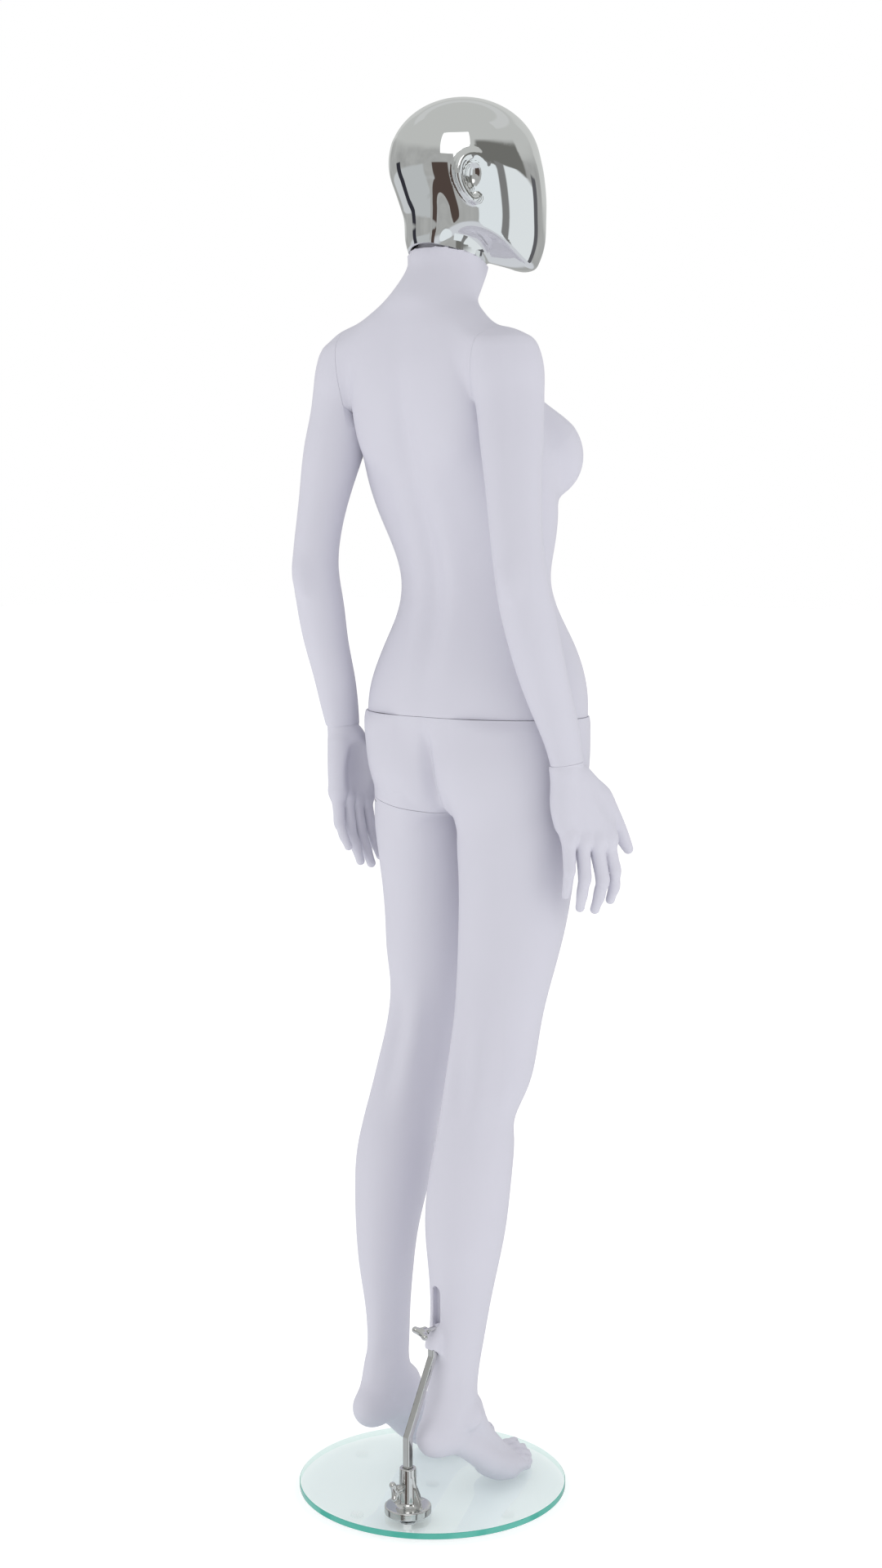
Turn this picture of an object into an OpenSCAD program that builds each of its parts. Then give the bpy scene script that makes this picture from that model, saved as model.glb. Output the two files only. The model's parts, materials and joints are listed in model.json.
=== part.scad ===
// Full body female shop mannequin on a round glass base, with a mirrored abstract head.
// Millimetres. +Z is up. The origin is on the floor at the centre of the glass disc.
// The mannequin faces -Y, so its right side is at -X.

/* [Base] */
// Diameter of the glass disc
base_d = 350; // [330:1:400]
// Thickness of the glass
base_t = 8; // [6:0.5:10]
// Height of the clear pads under the glass
pad_h = 4; // [4:0.5:6]
// Diameter of each pad
pad_d = 16; // [12:1:24]

/* [Calf support] */
// Diameter of the round foot of the flange
flange_d = 58; // [54:1:70]
// Height of the flange above the glass
flange_h = 60; // [56:1:64]
// Side of the square support rod
rod_w = 9.5; // [8:0.1:10]
// Clearance on each side of the rod in its sockets
rod_gap = 0.25; // [0.15:0.05:0.4]
// Diameter of the thread of both wing screws
wing_screw_d = 6; // [5:1:6]

/* [Shells] */
// Wall of the moulded shells
wall = 3.5; // [3:0.1:4]
// Width of the open line between two shells
seam = 1; // [0.8:0.1:1.5]

/* [Fittings] */
// Thickness of the plates that close the shells
plate_t = 4; // [3:0.5:5]
// Diameter of the twist lock studs
stud_d = 12; // [10:1:14]
// Radial clearance of a stud in its plate
stud_gap = 0.1; // [0.05:0.05:0.2]

/* [Body] */
// Width across the hips
hip_w = 332; // [326:1:336]
// Width across the waist
waist_w = 212; // [205:1:220]
// Width of the rib cage under the arms
chest_w = 268; // [262:1:272]
// Diameter of the neck
neck_d = 102; // [98:1:104]
// Width of the head without the ears
head_w = 148; // [142:1:154]

/* [Hidden] */

ring_n = 24;
glass_top = pad_h + base_t;
far = 600;

// Places where one shell meets the next: a point on the seam and the turns that carry +Z onto its axis.
waist_at = [0, -86, 1018];
waist_turn = [0, 0, 0];
neck_at = [0, -31, 1607];
neck_turn = [15, 0, 0];
hip_at = [80, -66, 900];
hip_turn = [0, 172, 0];
shoulder_at = [118, 4, 1452];
shoulder_turn = [0, 95, 15];
armpit_z = 1388;
right_wrist_at = [-190, -35, 967];
right_wrist_turn = [174, 4, 0];
left_wrist_at = [189, -29, 997];
left_wrist_turn = [174, -3, 0];

pad_ring_r = base_d / 2 - 39;
pad_turn = -3;
flange_at = [-53, 105, glass_top];
rod_top_at = [-64, 70, 212];
socket_h = 52;
socket_w = rod_w + 8;
rod_low_bend_z = 112;
rod_in_flange = 46;
rod_in_socket = 44;
calf_screw_z = 247;
flange_screw_z = glass_top + 36;

// Half axes of the oval plates at the shoulders, and the radius of the wrist plates.
shoulder_plate = [34, 20];
arm_plate = [28, 22];
wrist_plate_r = 14.5;

// Body sections, each [z, centre x, centre y, half width, depth to the front, depth to the back].
hip_half = hip_w / 2;
waist_half = waist_w / 2;
chest_half = chest_w / 2;
neck_r = neck_d / 2;
pelvis_rows = [
    [893, 0, -70, hip_half - 12, 90, 88],
    [920, 0, -80, hip_half - 4, 104, 104],
    [950, 0, -86, hip_half, 110, 112],
    [985, 0, -85, hip_half, 111, 112],
    [1018, 0, -86, hip_half - 3, 110, 110],
    [1050, 0, -88, hip_half - 7, 109, 108]
];
torso_rows = [
    [990, 0, -85, hip_half, 111, 112],
    [1018, 0, -86, hip_half - 3, 110, 110],
    [1050, 0, -88, hip_half - 7, 109, 108],
    [1080, 0, -91, hip_half - 16, 104, 106],
    [1110, 0, -91, waist_half + 29, 96, 98],
    [1145, 0, -89, waist_half + 10, 87, 88],
    [1190, 0, -84, waist_half, 80, 80],
    [1230, 0, -80, waist_half + 8, 84, 84],
    [1275, 0, -70, chest_half - 7, 88, 90],
    [1320, 0, -56, chest_half - 3, 94, 93],
    [1355, 0, -44, chest_half - 14, 91, 90],
    [1400, 0, -25, chest_half - 22, 84, 82],
    [1430, 0, -10, chest_half + 2, 76, 72],
    [1460, 0, 2, chest_half + 2, 64, 60],
    [1490, 0, 11, chest_half - 4, 50, 48],
    [1508, 0, 14, chest_half - 18, 42, 42],
    [1522, 0, 13, chest_half - 42, 42, 42],
    [1538, 0, 9, neck_r + 18, 48, 46],
    [1556, 0, -3, neck_r + 6, 50, 50],
    [1580, 0, -20, neck_r, 50, 51],
    [1640, 0, -44, neck_r - 2, 48, 50]
];
right_leg_rows = [
    [150, -65, 36, 29, 38, 36],
    [180, -65, 31, 29, 38, 36],
    [212, -65, 27, 31, 39, 38],
    [264, -67, 21, 35, 42, 42],
    [315, -69, 17, 42, 47, 48],
    [367, -71, 15, 49, 54, 55],
    [430, -73, 10, 50, 56, 56],
    [476, -75, 3, 48, 53, 53],
    [517, -77, -7, 46, 50, 50],
    [545, -78, -18, 49, 52, 50],
    [590, -79, -29, 53, 56, 54],
    [640, -80, -37, 55, 57, 57],
    [690, -81, -48, 60, 62, 62],
    [750, -82, -60, 66, 70, 70],
    [820, -84, -68, 71, 78, 78],
    [890, -84, -68, 74, 82, 84],
    [940, -84, -70, 72, 86, 90]
];
left_leg_rows = [
    [160, 67, 17, 25, 32, 32],
    [190, 67, 14, 25, 32, 31],
    [231, 68, 13, 27, 33, 32],
    [284, 69, 14, 33, 38, 38],
    [337, 70, 11, 39, 43, 44],
    [394, 72, 0, 46, 51, 52],
    [438, 73, -9, 49, 54, 55],
    [488, 75, -26, 48, 53, 53],
    [536, 76, -52, 50, 55, 52],
    [585, 77, -72, 53, 55, 54],
    [637, 78, -85, 57, 59, 59],
    [689, 79, -90, 63, 66, 66],
    [742, 80, -92, 67, 72, 72],
    [820, 81, -82, 71, 77, 78],
    [890, 82, -73, 74, 82, 84],
    [940, 82, -70, 74, 86, 90]
];
// Left arm sections, [z, centre x, centre y, radius]. The right arm mirrors them.
arm_rows = [
    [955, 191, -40, 21],
    [985, 189, -33, 22.5],
    [1013, 186, -25, 26],
    [1062, 180, -8, 30],
    [1110, 178, 9, 32.5],
    [1157, 175, 22, 34],
    [1204, 173, 33, 32],
    [1250, 167, 34, 32],
    [1297, 160, 30, 34],
    [1367, 148, 21, 39],
    [1410, 140, 15, 42],
    [1448, 133, 13, 44],
    [1476, 128, 13, 41],
    [1495, 122, 14, 32],
    [1507, 117, 14, 20]
];
// Head sections in the head's own frame, [z, back, front, half width], with y along its nose.
head_turn = -36;
head_half = head_w / 2;
skull_rows = [
    [1584, -26, 104, 30],
    [1592, -34, 116, 42],
    [1612, -48, 121, 54],
    [1637, -49, 123, 63],
    [1661, -59, 123, 68],
    [1684, -68, 122, head_half - 2],
    [1708, -73, 118, head_half],
    [1732, -73, 110, head_half - 4],
    [1755, -63, 98, head_half - 14],
    [1775, -42, 76, head_half - 32],
    [1787, -14, 44, head_half - 56]
];

// ---------- helpers ----------
function ring(row, inset) =
    [for (i = [0 : ring_n - 1])
        let (c = cos(360 * i / ring_n), s = sin(360 * i / ring_n))
        [
            row[1] + (row[3] - inset) * c,
            row[2] + ((s < 0 ? row[4] : row[5]) - inset) * s,
            row[0]
        ]];

function arm_row(row) = [row[0], row[1], row[2], row[3], row[3], row[3]];

function skull_row(row) =
    let (mid = (row[1] + row[2]) / 2, half = (row[2] - row[1]) / 2)
    [row[0], 0, -mid, row[3], half, half];

side_faces = [for (i = [0 : ring_n - 1])
    [i, (i + 1) % ring_n, ring_n + (i + 1) % ring_n, ring_n + i]];
prism_faces = concat(
    [[for (i = [ring_n - 1 : -1 : 0]) i]],
    [[for (i = [0 : ring_n - 1]) ring_n + i]],
    side_faces
);

// Solid between neighbouring sections, each section moved in by inset.
module loft(rows, inset = 0) {
    for (i = [0 : len(rows) - 2])
        hull()
            polyhedron(concat(ring(rows[i], inset), ring(rows[i + 1], inset)), prism_faces);
}

// Puts children at a seam, with their +Z along its axis.
module at(place, turn) {
    translate(place)
        rotate(turn)
            children();
}

// Everything beyond a seam, with the half of the seam line that this shell gives up.
module beyond(place, turn, side = 1) {
    at(place, turn)
        translate([-far, -far, side > 0 ? -seam / 2 : seam / 2 - 2 * far])
            cube(2 * far);
}

// The part of the space beyond a shoulder seam that lies above the armpit.
module beyond_shoulder(side = 1) {
    intersection() {
        beyond(shoulder_at, shoulder_turn, side);
        translate([0, -far, armpit_z])
            cube([far, 2 * far, far]);
    }
}

module bead(at_point, r, squash = [1, 1, 1]) {
    translate(at_point)
        scale(squash)
            sphere(r, $fn = 14);
}

// A rounded bar that tapers from one ball to the next.
module finger_bone(a, b, ra, rb) {
    hull() {
        bead(a, ra);
        bead(b, rb);
    }
}

// Flat oval plate with a keyhole for a twist lock stud. Its top face is at z = 0.
module keyhole_plate(rx, ry) {
    outline = [for (i = [0 : 47]) [rx * cos(7.5 * i), ry * sin(7.5 * i)]];
    difference() {
        translate([0, 0, -plate_t])
            linear_extrude(plate_t)
                polygon(outline);
        translate([0, 0, -plate_t - 1])
            cylinder(d = stud_d + 2 * stud_gap, h = plate_t + 2, $fn = 64);
        translate([-stud_d - 1, -2.5, -plate_t - 1])
            cube([2 * stud_d + 2, 5, plate_t + 2]);
    }
}

// Flat oval plate with a round hole for the stud that it carries. Its bottom face is at z = 0.
module carrier_plate(rx, ry) {
    outline = [for (i = [0 : 47]) [rx * cos(7.5 * i), ry * sin(7.5 * i)]];
    difference() {
        linear_extrude(plate_t)
            polygon(outline);
        translate([0, 0, -1])
            cylinder(d = stud_d + 2 * stud_gap, h = plate_t + 2, $fn = 64);
    }
}

// Twist lock stud: a head above the carrier plate, a shaft through both plates and a cross bar below.
plate_recess = 1.5;
module twist_stud() {
    head_z = plate_recess + plate_t + 0.1;
    bar_z = -plate_recess - plate_t - 0.3;
    cylinder(d = stud_d, h = head_z + 0.5, $fn = 64);
    translate([0, 0, head_z])
        cylinder(d = stud_d + 12, h = 3, $fn = 64);
    translate([0, 0, bar_z - 4])
        cylinder(d = stud_d, h = -bar_z + 4.5, $fn = 64);
    translate([-2, -stud_d, bar_z - 4])
        cube([4, 2 * stud_d, 4]);
}

// Wing screw along +Z with its tip at z = 0 and two paddles at its outer end.
module wing_screw(thread_l) {
    cylinder(d = wing_screw_d, h = thread_l, $fn = 48);
    translate([0, 0, thread_l - 0.5])
        cylinder(d = wing_screw_d + 5, h = 6.5, $fn = 48);
    translate([0, 1.6, thread_l + 5])
        rotate([90, 0, 0])
            linear_extrude(3.2)
                polygon([[-3, 0], [3, 0], [11, 4], [12, 9], [8, 11], [0, 6], [-8, 11], [-12, 9], [-11, 4]]);
}

// ---------- base ----------
module glass_base() {
    color("PaleTurquoise", 0.4)
        difference() {
            translate([0, 0, pad_h])
                rotate_extrude($fn = 128)
                    polygon([[0, 0], [base_d / 2 - 1, 0], [base_d / 2, 1], [base_d / 2, base_t - 1],
                        [base_d / 2 - 1, base_t], [0, base_t]]);
            translate([flange_at.x, flange_at.y, 0])
                cylinder(d = 10, h = glass_top + 1, $fn = 64);
        }
}

module base_pads() {
    color("WhiteSmoke") {
        cylinder(d = pad_d, h = pad_h, $fn = 48);
        for (i = [0 : 3])
            rotate(90 * i + pad_turn)
                translate([pad_ring_r, 0, 0])
                    cylinder(d = pad_d, h = pad_h, $fn = 48);
    }
}

gasket_t = 1;
module flange_gasket() {
    color("WhiteSmoke")
        translate(flange_at)
            difference() {
                cylinder(d = flange_d - 4, h = gasket_t, $fn = 96);
                translate([0, 0, -1])
                    cylinder(d = 10, h = gasket_t + 2, $fn = 64);
            }
}

tower_d = 22;
flange_foot_h = 8;
module base_flange() {
    hole = rod_w + 2 * rod_gap;
    color("silver")
        translate(flange_at + [0, 0, gasket_t])
            difference() {
                union() {
                    rotate_extrude($fn = 96)
                        polygon([[0, 0], [flange_d / 2, 0], [flange_d / 2, flange_foot_h - 3],
                            [flange_d / 2 - 3, flange_foot_h], [tower_d / 2 + 1.5, flange_foot_h],
                            [tower_d / 2, flange_h - gasket_t - 1], [tower_d / 2 - 1, flange_h - gasket_t],
                            [0, flange_h - gasket_t]]);
                    for (a = [0, 180, 270])
                        rotate([90, 0, a])
                            translate([0, 0, -2])
                                linear_extrude(4)
                                    polygon([[8, 4], [flange_d / 2 - 4, 4], [flange_d / 2 - 4, 9],
                                        [tower_d / 2, flange_h - 16], [8, flange_h - 16]]);
                }
                translate([-hole / 2, -hole / 2, flange_h - gasket_t - rod_in_flange - 1])
                    cube([hole, hole, rod_in_flange + 2]);
                translate([0, 0, flange_screw_z - glass_top - gasket_t])
                    rotate([-90, 0, 0])
                        cylinder(d = wing_screw_d + 0.2, h = tower_d, $fn = 48);
                translate([0, 0, -1])
                    cylinder(d = 8.2, h = 11, $fn = 48);
            }
}

module flange_bolt() {
    color("silver")
        translate([flange_at.x, flange_at.y, 0]) {
            translate([0, 0, 0.6])
                cylinder(d = 20, h = 2.2, $fn = 64);
            translate([0, 0, 2])
                cylinder(d = 8, h = glass_top + gasket_t + 6, $fn = 48);
        }
}

module bolt_washer() {
    color("dimgray")
        translate([flange_at.x, flange_at.y, 2.9])
            difference() {
                cylinder(d = 26, h = 1, $fn = 64);
                translate([0, 0, -1])
                    cylinder(d = 8.4, h = 3, $fn = 48);
            }
}

module flange_wing_screw() {
    color("silver")
        translate([flange_at.x, flange_at.y + rod_w / 2 + rod_gap, flange_screw_z])
            rotate([-90, 0, 0])
                wing_screw(13);
}

// Square bar with two slanting bends: upright in the flange, sloped, then upright in the calf.
module support_rod() {
    foot = [flange_at.x, flange_at.y, glass_top + flange_h - rod_in_flange];
    low_bend = [flange_at.x, flange_at.y, rod_low_bend_z];
    top = rod_top_at + [0, 0, rod_in_socket];
    half = rod_w / 2;
    corners = [[-1, -1], [1, -1], [1, 1], [-1, 1]];
    square_ring = function (p) [for (c = corners) p + [c.x * half, c.y * half, 0]];
    stops = [foot, low_bend, rod_top_at, top];
    points = [for (p = stops) each square_ring(p)];
    faces = concat(
        [[3, 2, 1, 0], [12, 13, 14, 15]],
        [for (k = [0 : 2], i = [0 : 3])
            let (a = 4 * k + i, b = 4 * k + (i + 1) % 4)
            [a, b, b + 4, a + 4]]
    );
    color("silver")
        polyhedron(points, faces);
}

module calf_socket() {
    hole = rod_w + 2 * rod_gap;
    color("white")
        difference() {
            translate([rod_top_at.x - socket_w / 2, rod_top_at.y - socket_w / 2, rod_top_at.z])
                cube([socket_w, socket_w, socket_h]);
            translate([rod_top_at.x - hole / 2, rod_top_at.y - hole / 2, rod_top_at.z - 1])
                cube([hole, hole, rod_in_socket + 1.5]);
            translate([rod_top_at.x, rod_top_at.y, calf_screw_z])
                rotate([-90, 0, 0])
                    cylinder(d = wing_screw_d + 0.2, h = socket_w, $fn = 48);
        }
}

module calf_wing_screw() {
    color("silver")
        translate([rod_top_at.x, rod_top_at.y + rod_w / 2 + rod_gap, calf_screw_z])
            rotate([-90, 0, 0])
                wing_screw(11);
}

// ---------- legs and hips ----------
// Raised-heel foot. side is -1 for the right foot and +1 for the left one.
module foot(x, heel_y, ball_y, side) {
    ball_z = glass_top + 17.6;
    heel = [x - side * 3, heel_y, glass_top + 92];
    arch = [x + side * 3, (heel_y + ball_y) / 2, glass_top + 78];
    hull() {
        bead([x, heel_y - 30, glass_top + 150], 28);
        bead(heel, 26);
    }
    hull() {
        bead([x, heel_y - 36, glass_top + 144], 28);
        bead(arch + [0, -6, 0], 25);
    }
    hull() {
        bead(heel, 25);
        bead(arch + [0, 6, -6], 22);
    }
    hull() {
        bead(arch, 25);
        bead([x + side * 4, ball_y + 18, ball_z + 24], 24);
    }
    hull() {
        bead([x + side * 4, ball_y + 16, ball_z + 20], 25);
        bead([x - side * 14, ball_y, ball_z], 17);
        bead([x + side * 24, ball_y + 8, ball_z - 2], 15);
    }
    for (k = [0 : 4]) {
        r = k == 0 ? 11 : 8.6 - 0.5 * k;
        root = [x + side * (-16 + 10.5 * k), ball_y + 2 * k, ball_z - 1];
        tip = [x + side * (-11 + 12.5 * k), ball_y - 50 + 9 * k, glass_top + r + 0.6];
        finger_bone(root, tip, r + 3, r);
    }
}

module hips_and_right_leg() {
    color("white")
        difference() {
            union() {
                loft(pelvis_rows);
                loft(right_leg_rows);
                foot(-66, 56, -46, -1);
            }
            // hollow from the waist down to the calf
            loft(pelvis_rows, wall);
            loft([for (row = right_leg_rows) if (row[0] > 330) row], wall);
            intersection() {
                loft([for (row = left_leg_rows) if (row[0] > 800) row], wall);
                translate([0, -far, 700])
                    cube([far, 2 * far, 400]);
            }
            // open ends
            beyond(waist_at, waist_turn);
            intersection() {
                beyond(hip_at, hip_turn);
                translate([2, -far, 0])
                    cube([far, 2 * far, 1100]);
            }
            // slot in the calf for the socket, the rod and the wing screw
            translate([rod_top_at.x - socket_w / 2 - 1, rod_top_at.y - socket_w / 2 - 1, rod_top_at.z - 1])
                cube([socket_w + 2, 60, socket_h + 2]);
            translate([rod_top_at.x - 5, rod_top_at.y - 26, rod_top_at.z + 30])
                cube([10, 60, 78]);
            translate([rod_top_at.x - 7, rod_top_at.y - 7, 60])
                cube([14, 60, rod_top_at.z - 60]);
        }
}

module left_leg_shell() {
    color("white")
        difference() {
            union() {
                loft(left_leg_rows);
                foot(68, 48, -62, 1);
            }
            loft([for (row = left_leg_rows) if (row[0] > 200) row], wall);
            beyond(hip_at, hip_turn, -1);
        }
}

module waist_lower_plate() {
    color("gray")
        at(waist_at - [0, 0, plate_recess], waist_turn)
            keyhole_plate(hip_half - 14, 96);
}

module waist_upper_plate() {
    color("gray")
        at(waist_at + [0, 0, plate_recess], waist_turn)
            carrier_plate(hip_half - 15, 95);
}

module waist_stud() {
    color("silver")
        at(waist_at, waist_turn)
            twist_stud();
}

module left_hip_plate() {
    color("gray")
        at(hip_at, hip_turn)
            translate([0, 0, -plate_recess])
                keyhole_plate(60, 62);
}

module left_leg_plate() {
    color("gray")
        at(hip_at, hip_turn)
            translate([0, 0, plate_recess])
                carrier_plate(60, 62);
}

module left_leg_stud() {
    color("silver")
        at(hip_at, hip_turn)
            twist_stud();
}

// ---------- torso and head ----------
module torso_shell() {
    breast_at = [73, -119, 1340];
    color("white")
        difference() {
            union() {
                loft(torso_rows);
                for (side = [-1, 1])
                    hull() {
                        bead([side * breast_at.x, breast_at.y, breast_at.z], 58);
                        bead([side * 62, -72, 1420], 28);
                    }
            }
            loft(torso_rows, wall);
            beyond(waist_at, waist_turn, -1);
            beyond(neck_at, neck_turn);
            beyond_shoulder();
            mirror([1, 0, 0])
                beyond_shoulder();
        }
}

module neck_plate() {
    color("gray")
        at(neck_at, neck_turn)
            translate([0, 0, -plate_recess])
                keyhole_plate(neck_r - 9, neck_r - 9);
}

module left_shoulder_plate() {
    color("gray")
        at(shoulder_at, shoulder_turn)
            translate([0, 0, -plate_recess])
                keyhole_plate(shoulder_plate.x, shoulder_plate.y);
}

module right_shoulder_plate() {
    color("gray")
        mirror([1, 0, 0])
            at(shoulder_at, shoulder_turn)
                translate([0, 0, -plate_recess])
                    keyhole_plate(shoulder_plate.x, shoulder_plate.y);
}

module ear(side) {
    hull() {
        bead([side * (head_half - 3), 2, 1706], 9, [0.6, 1, 1.5]);
        bead([side * (head_half - 5), -6, 1672], 6, [0.6, 1, 1.3]);
    }
}

module head_shell() {
    skull = [for (row = skull_rows) skull_row(row)];
    stub = [
        [1590, 0, 0, neck_r - 3, neck_r - 3, neck_r - 4],
        [1640, 0, 2, neck_r - 2, neck_r + 10, neck_r]
    ];
    color("silver")
        difference() {
            translate([neck_at.x, neck_at.y, 0])
                rotate(head_turn)
                    difference() {
                        union() {
                            loft(skull);
                            loft(stub);
                            for (side = [-1, 1])
                                ear(side);
                        }
                        translate([0, 0, -2])
                            loft([for (row = skull) if (row[0] > 1600) row], wall);
                        translate([0, 0, -9])
                            loft(stub, wall + 3);
                        translate([0, 0, 10])
                            loft(stub, wall + 3);
                    }
            intersection() {
                beyond(neck_at, neck_turn, -1);
                at(neck_at, neck_turn)
                    cylinder(r = neck_r + 5, h = 120, center = true, $fn = 64);
            }
        }
}

module head_plate() {
    color("gray")
        at(neck_at, neck_turn)
            translate([0, 0, plate_recess])
                carrier_plate(neck_r - 12, neck_r - 12);
}

module head_stud() {
    color("silver")
        at(neck_at, neck_turn)
            twist_stud();
}

// ---------- arms and hands ----------
module arm_solid(inset = 0) {
    loft([for (row = arm_rows) arm_row(row)], inset);
}

module arm_shell(wrist_at, wrist_turn) {
    color("white")
        difference() {
            arm_solid();
            arm_solid(wall);
            beyond(shoulder_at, shoulder_turn, -1);
            beyond(wrist_at, wrist_turn);
        }
}

module left_arm_shell() {
    arm_shell(left_wrist_at, left_wrist_turn);
}

module right_arm_shell() {
    mirror([1, 0, 0])
        arm_shell([-right_wrist_at.x, right_wrist_at.y, right_wrist_at.z],
            [right_wrist_turn.x, -right_wrist_turn.y, 0]);
}

module left_arm_plate() {
    color("gray")
        at(shoulder_at, shoulder_turn)
            translate([0, 0, plate_recess])
                carrier_plate(arm_plate.x, arm_plate.y);
}

module right_arm_plate() {
    color("gray")
        mirror([1, 0, 0])
            at(shoulder_at, shoulder_turn)
                translate([0, 0, plate_recess])
                    carrier_plate(arm_plate.x, arm_plate.y);
}

module left_arm_stud() {
    color("silver")
        at(shoulder_at, shoulder_turn)
            twist_stud();
}

module right_arm_stud() {
    color("silver")
        mirror([1, 0, 0])
            at(shoulder_at, shoulder_turn)
                twist_stud();
}

peg_d = 8;
module wrist_plate() {
    color("gray")
        translate([0, 0, -plate_recess - plate_t])
            difference() {
                cylinder(r = wrist_plate_r, h = plate_t, $fn = 64);
                translate([0, 0, -1])
                    cylinder(d = peg_d + 2 * stud_gap, h = plate_t + 2, $fn = 48);
            }
}

module right_wrist_plate() {
    at(right_wrist_at, right_wrist_turn)
        wrist_plate();
}

module left_wrist_plate() {
    at(left_wrist_at, left_wrist_turn)
        wrist_plate();
}

// Round peg of a hand, with a button that snaps behind the wrist plate.
module hand_peg() {
    color("silver") {
        translate([0, 0, -12])
            cylinder(d = peg_d, h = 24, $fn = 48);
        translate([0, 0, -12])
            cylinder(d = peg_d + 4, h = 4, $fn = 48);
    }
}

module right_hand_stud() {
    at(right_wrist_at, right_wrist_turn)
        hand_peg();
}

module left_hand_stud() {
    at(left_wrist_at, left_wrist_turn)
        hand_peg();
}

// Hand in its own frame: +Z runs from the wrist to the fingers, +X to the thumb, +Y to the palm side.
finger_l = [82, 90, 85, 68];
module hand(spread, curl, bend) {
    color("white")
        difference() {
            union() {
                hull() {
                    scale([1, 0.92, 1])
                        cylinder(r = 21, h = 4, $fn = 32);
                    bead([2, 0, 14], 19, [1.05, 0.8, 0.7]);
                }
                translate([0, 0, 8])
                    rotate(bend)
                        palm_and_fingers(spread, curl);
            }
            translate([0, 0, -8])
                cylinder(d = peg_d + 2, h = 21.5, $fn = 48);
        }
}

module palm_and_fingers(spread, curl) {
    hull() {
        bead([0, 0, 4], 19, [1.05, 0.8, 0.7]);
        bead([2, 0, 24], 19, [1.05, 0.8, 1]);
    }
    hull() {
        bead([2, 0, 24], 19, [1.05, 0.8, 1]);
        for (k = [0 : 3])
            bead([30 - 19 * k, 0, 86 - 3 * abs(k - 1)], 10.5);
    }
    for (k = [0 : 3]) {
        lean = spread * (1.2 - k);
        root = [30 - 19 * k, 0, 86 - 3 * abs(k - 1)];
        mid = root + finger_l[k] * 0.55 * [sin(lean), sin(curl), cos(lean)];
        tip = mid + finger_l[k] * 0.40 * [sin(lean), sin(2 * curl), cos(lean)];
        finger_bone(root, mid, 9.5, 8);
        finger_bone(mid, tip, 8, 6.5);
    }
    finger_bone([18, 2, 26], [40, 6, 62], 14, 11);
    finger_bone([40, 6, 62], [50, 8, 104], 11, 7.5);
}

// The hands hang with their thumbs forward and their palms towards the thighs.
hand_start = seam / 2;
module right_hand() {
    at(right_wrist_at, right_wrist_turn)
        rotate([0, 0, 110])
            translate([0, 0, hand_start])
                hand(6, 5, [0, 10, 0]);
}

module left_hand() {
    at(left_wrist_at, left_wrist_turn)
        mirror([1, 0, 0])
            rotate([0, 0, 100])
                translate([0, 0, hand_start])
                    hand(2, 6, [0, 8, 0]);
}

glass_base();
base_pads();
flange_gasket();
base_flange();
flange_bolt();
bolt_washer();
flange_wing_screw();
support_rod();
calf_socket();
calf_wing_screw();
hips_and_right_leg();
waist_lower_plate();
waist_stud();
left_hip_plate();
torso_shell();
waist_upper_plate();
neck_plate();
right_shoulder_plate();
left_shoulder_plate();
left_leg_shell();
left_leg_plate();
left_leg_stud();
right_arm_shell();
right_arm_plate();
right_arm_stud();
right_wrist_plate();
left_arm_shell();
left_arm_plate();
left_arm_stud();
left_wrist_plate();
right_hand();
right_hand_stud();
left_hand();
left_hand_stud();
head_shell();
head_plate();
head_stud();
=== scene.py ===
"""Blender looks of the full body mannequin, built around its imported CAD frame.

The figure is modelled as a distance field in millimetres: tubes of sections, ellipsoids and capsules that
melt into each other. The field is turned into one mesh per moulded shell, cut along its flat seams.
"""

import json
import math
from concurrent.futures import ThreadPoolExecutor

import bmesh
import bpy
import numpy as np
from mathutils import Matrix, Vector


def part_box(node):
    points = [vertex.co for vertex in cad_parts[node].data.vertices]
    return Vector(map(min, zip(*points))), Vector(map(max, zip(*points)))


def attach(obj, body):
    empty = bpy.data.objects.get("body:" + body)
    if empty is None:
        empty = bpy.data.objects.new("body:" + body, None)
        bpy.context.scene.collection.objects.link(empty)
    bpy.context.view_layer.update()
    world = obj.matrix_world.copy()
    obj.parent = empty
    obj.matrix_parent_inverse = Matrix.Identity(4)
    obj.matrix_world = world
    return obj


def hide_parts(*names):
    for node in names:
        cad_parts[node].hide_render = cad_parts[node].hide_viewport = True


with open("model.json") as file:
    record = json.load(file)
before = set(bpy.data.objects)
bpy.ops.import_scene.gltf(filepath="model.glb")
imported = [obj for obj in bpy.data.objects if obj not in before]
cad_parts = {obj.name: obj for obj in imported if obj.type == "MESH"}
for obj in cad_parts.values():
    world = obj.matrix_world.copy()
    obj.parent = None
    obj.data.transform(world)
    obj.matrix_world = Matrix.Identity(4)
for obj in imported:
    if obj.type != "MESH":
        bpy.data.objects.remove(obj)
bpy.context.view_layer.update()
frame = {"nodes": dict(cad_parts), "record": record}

# Metres per millimetre. All sizes below are in millimetres, in the frame of the CAD model.
MM = 0.001
GLASS_TOP = 12.0
# Wall of a shell at a seam, and the depth of the pocket behind it for the fittings.
WALL = 3.5
POCKET = 7.5
# Width of the gap at a seam, from the loosest one to the closest one.
NECK_GAP = 1.0
HEAD_GAP = 0.6
BODY_GAP = 0.5
ARM_GAP = 0.3

# Below this height the arm and the torso are two separate skins.
ARMPIT_Z = 1384
HEAD_TURN = math.radians(-36)


def turned(turn_x, turn_y, turn_z):
    """The direction of +Z after turns about x, then y, then z, in degrees."""
    turns = ((turn_z, "Z"), (turn_y, "Y"), (turn_x, "X"))
    matrix = Matrix.Identity(3)
    for angle, axis in turns:
        matrix = matrix @ Matrix.Rotation(math.radians(angle), 3, axis)
    return tuple(matrix @ Vector((0, 0, 1)))


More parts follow.
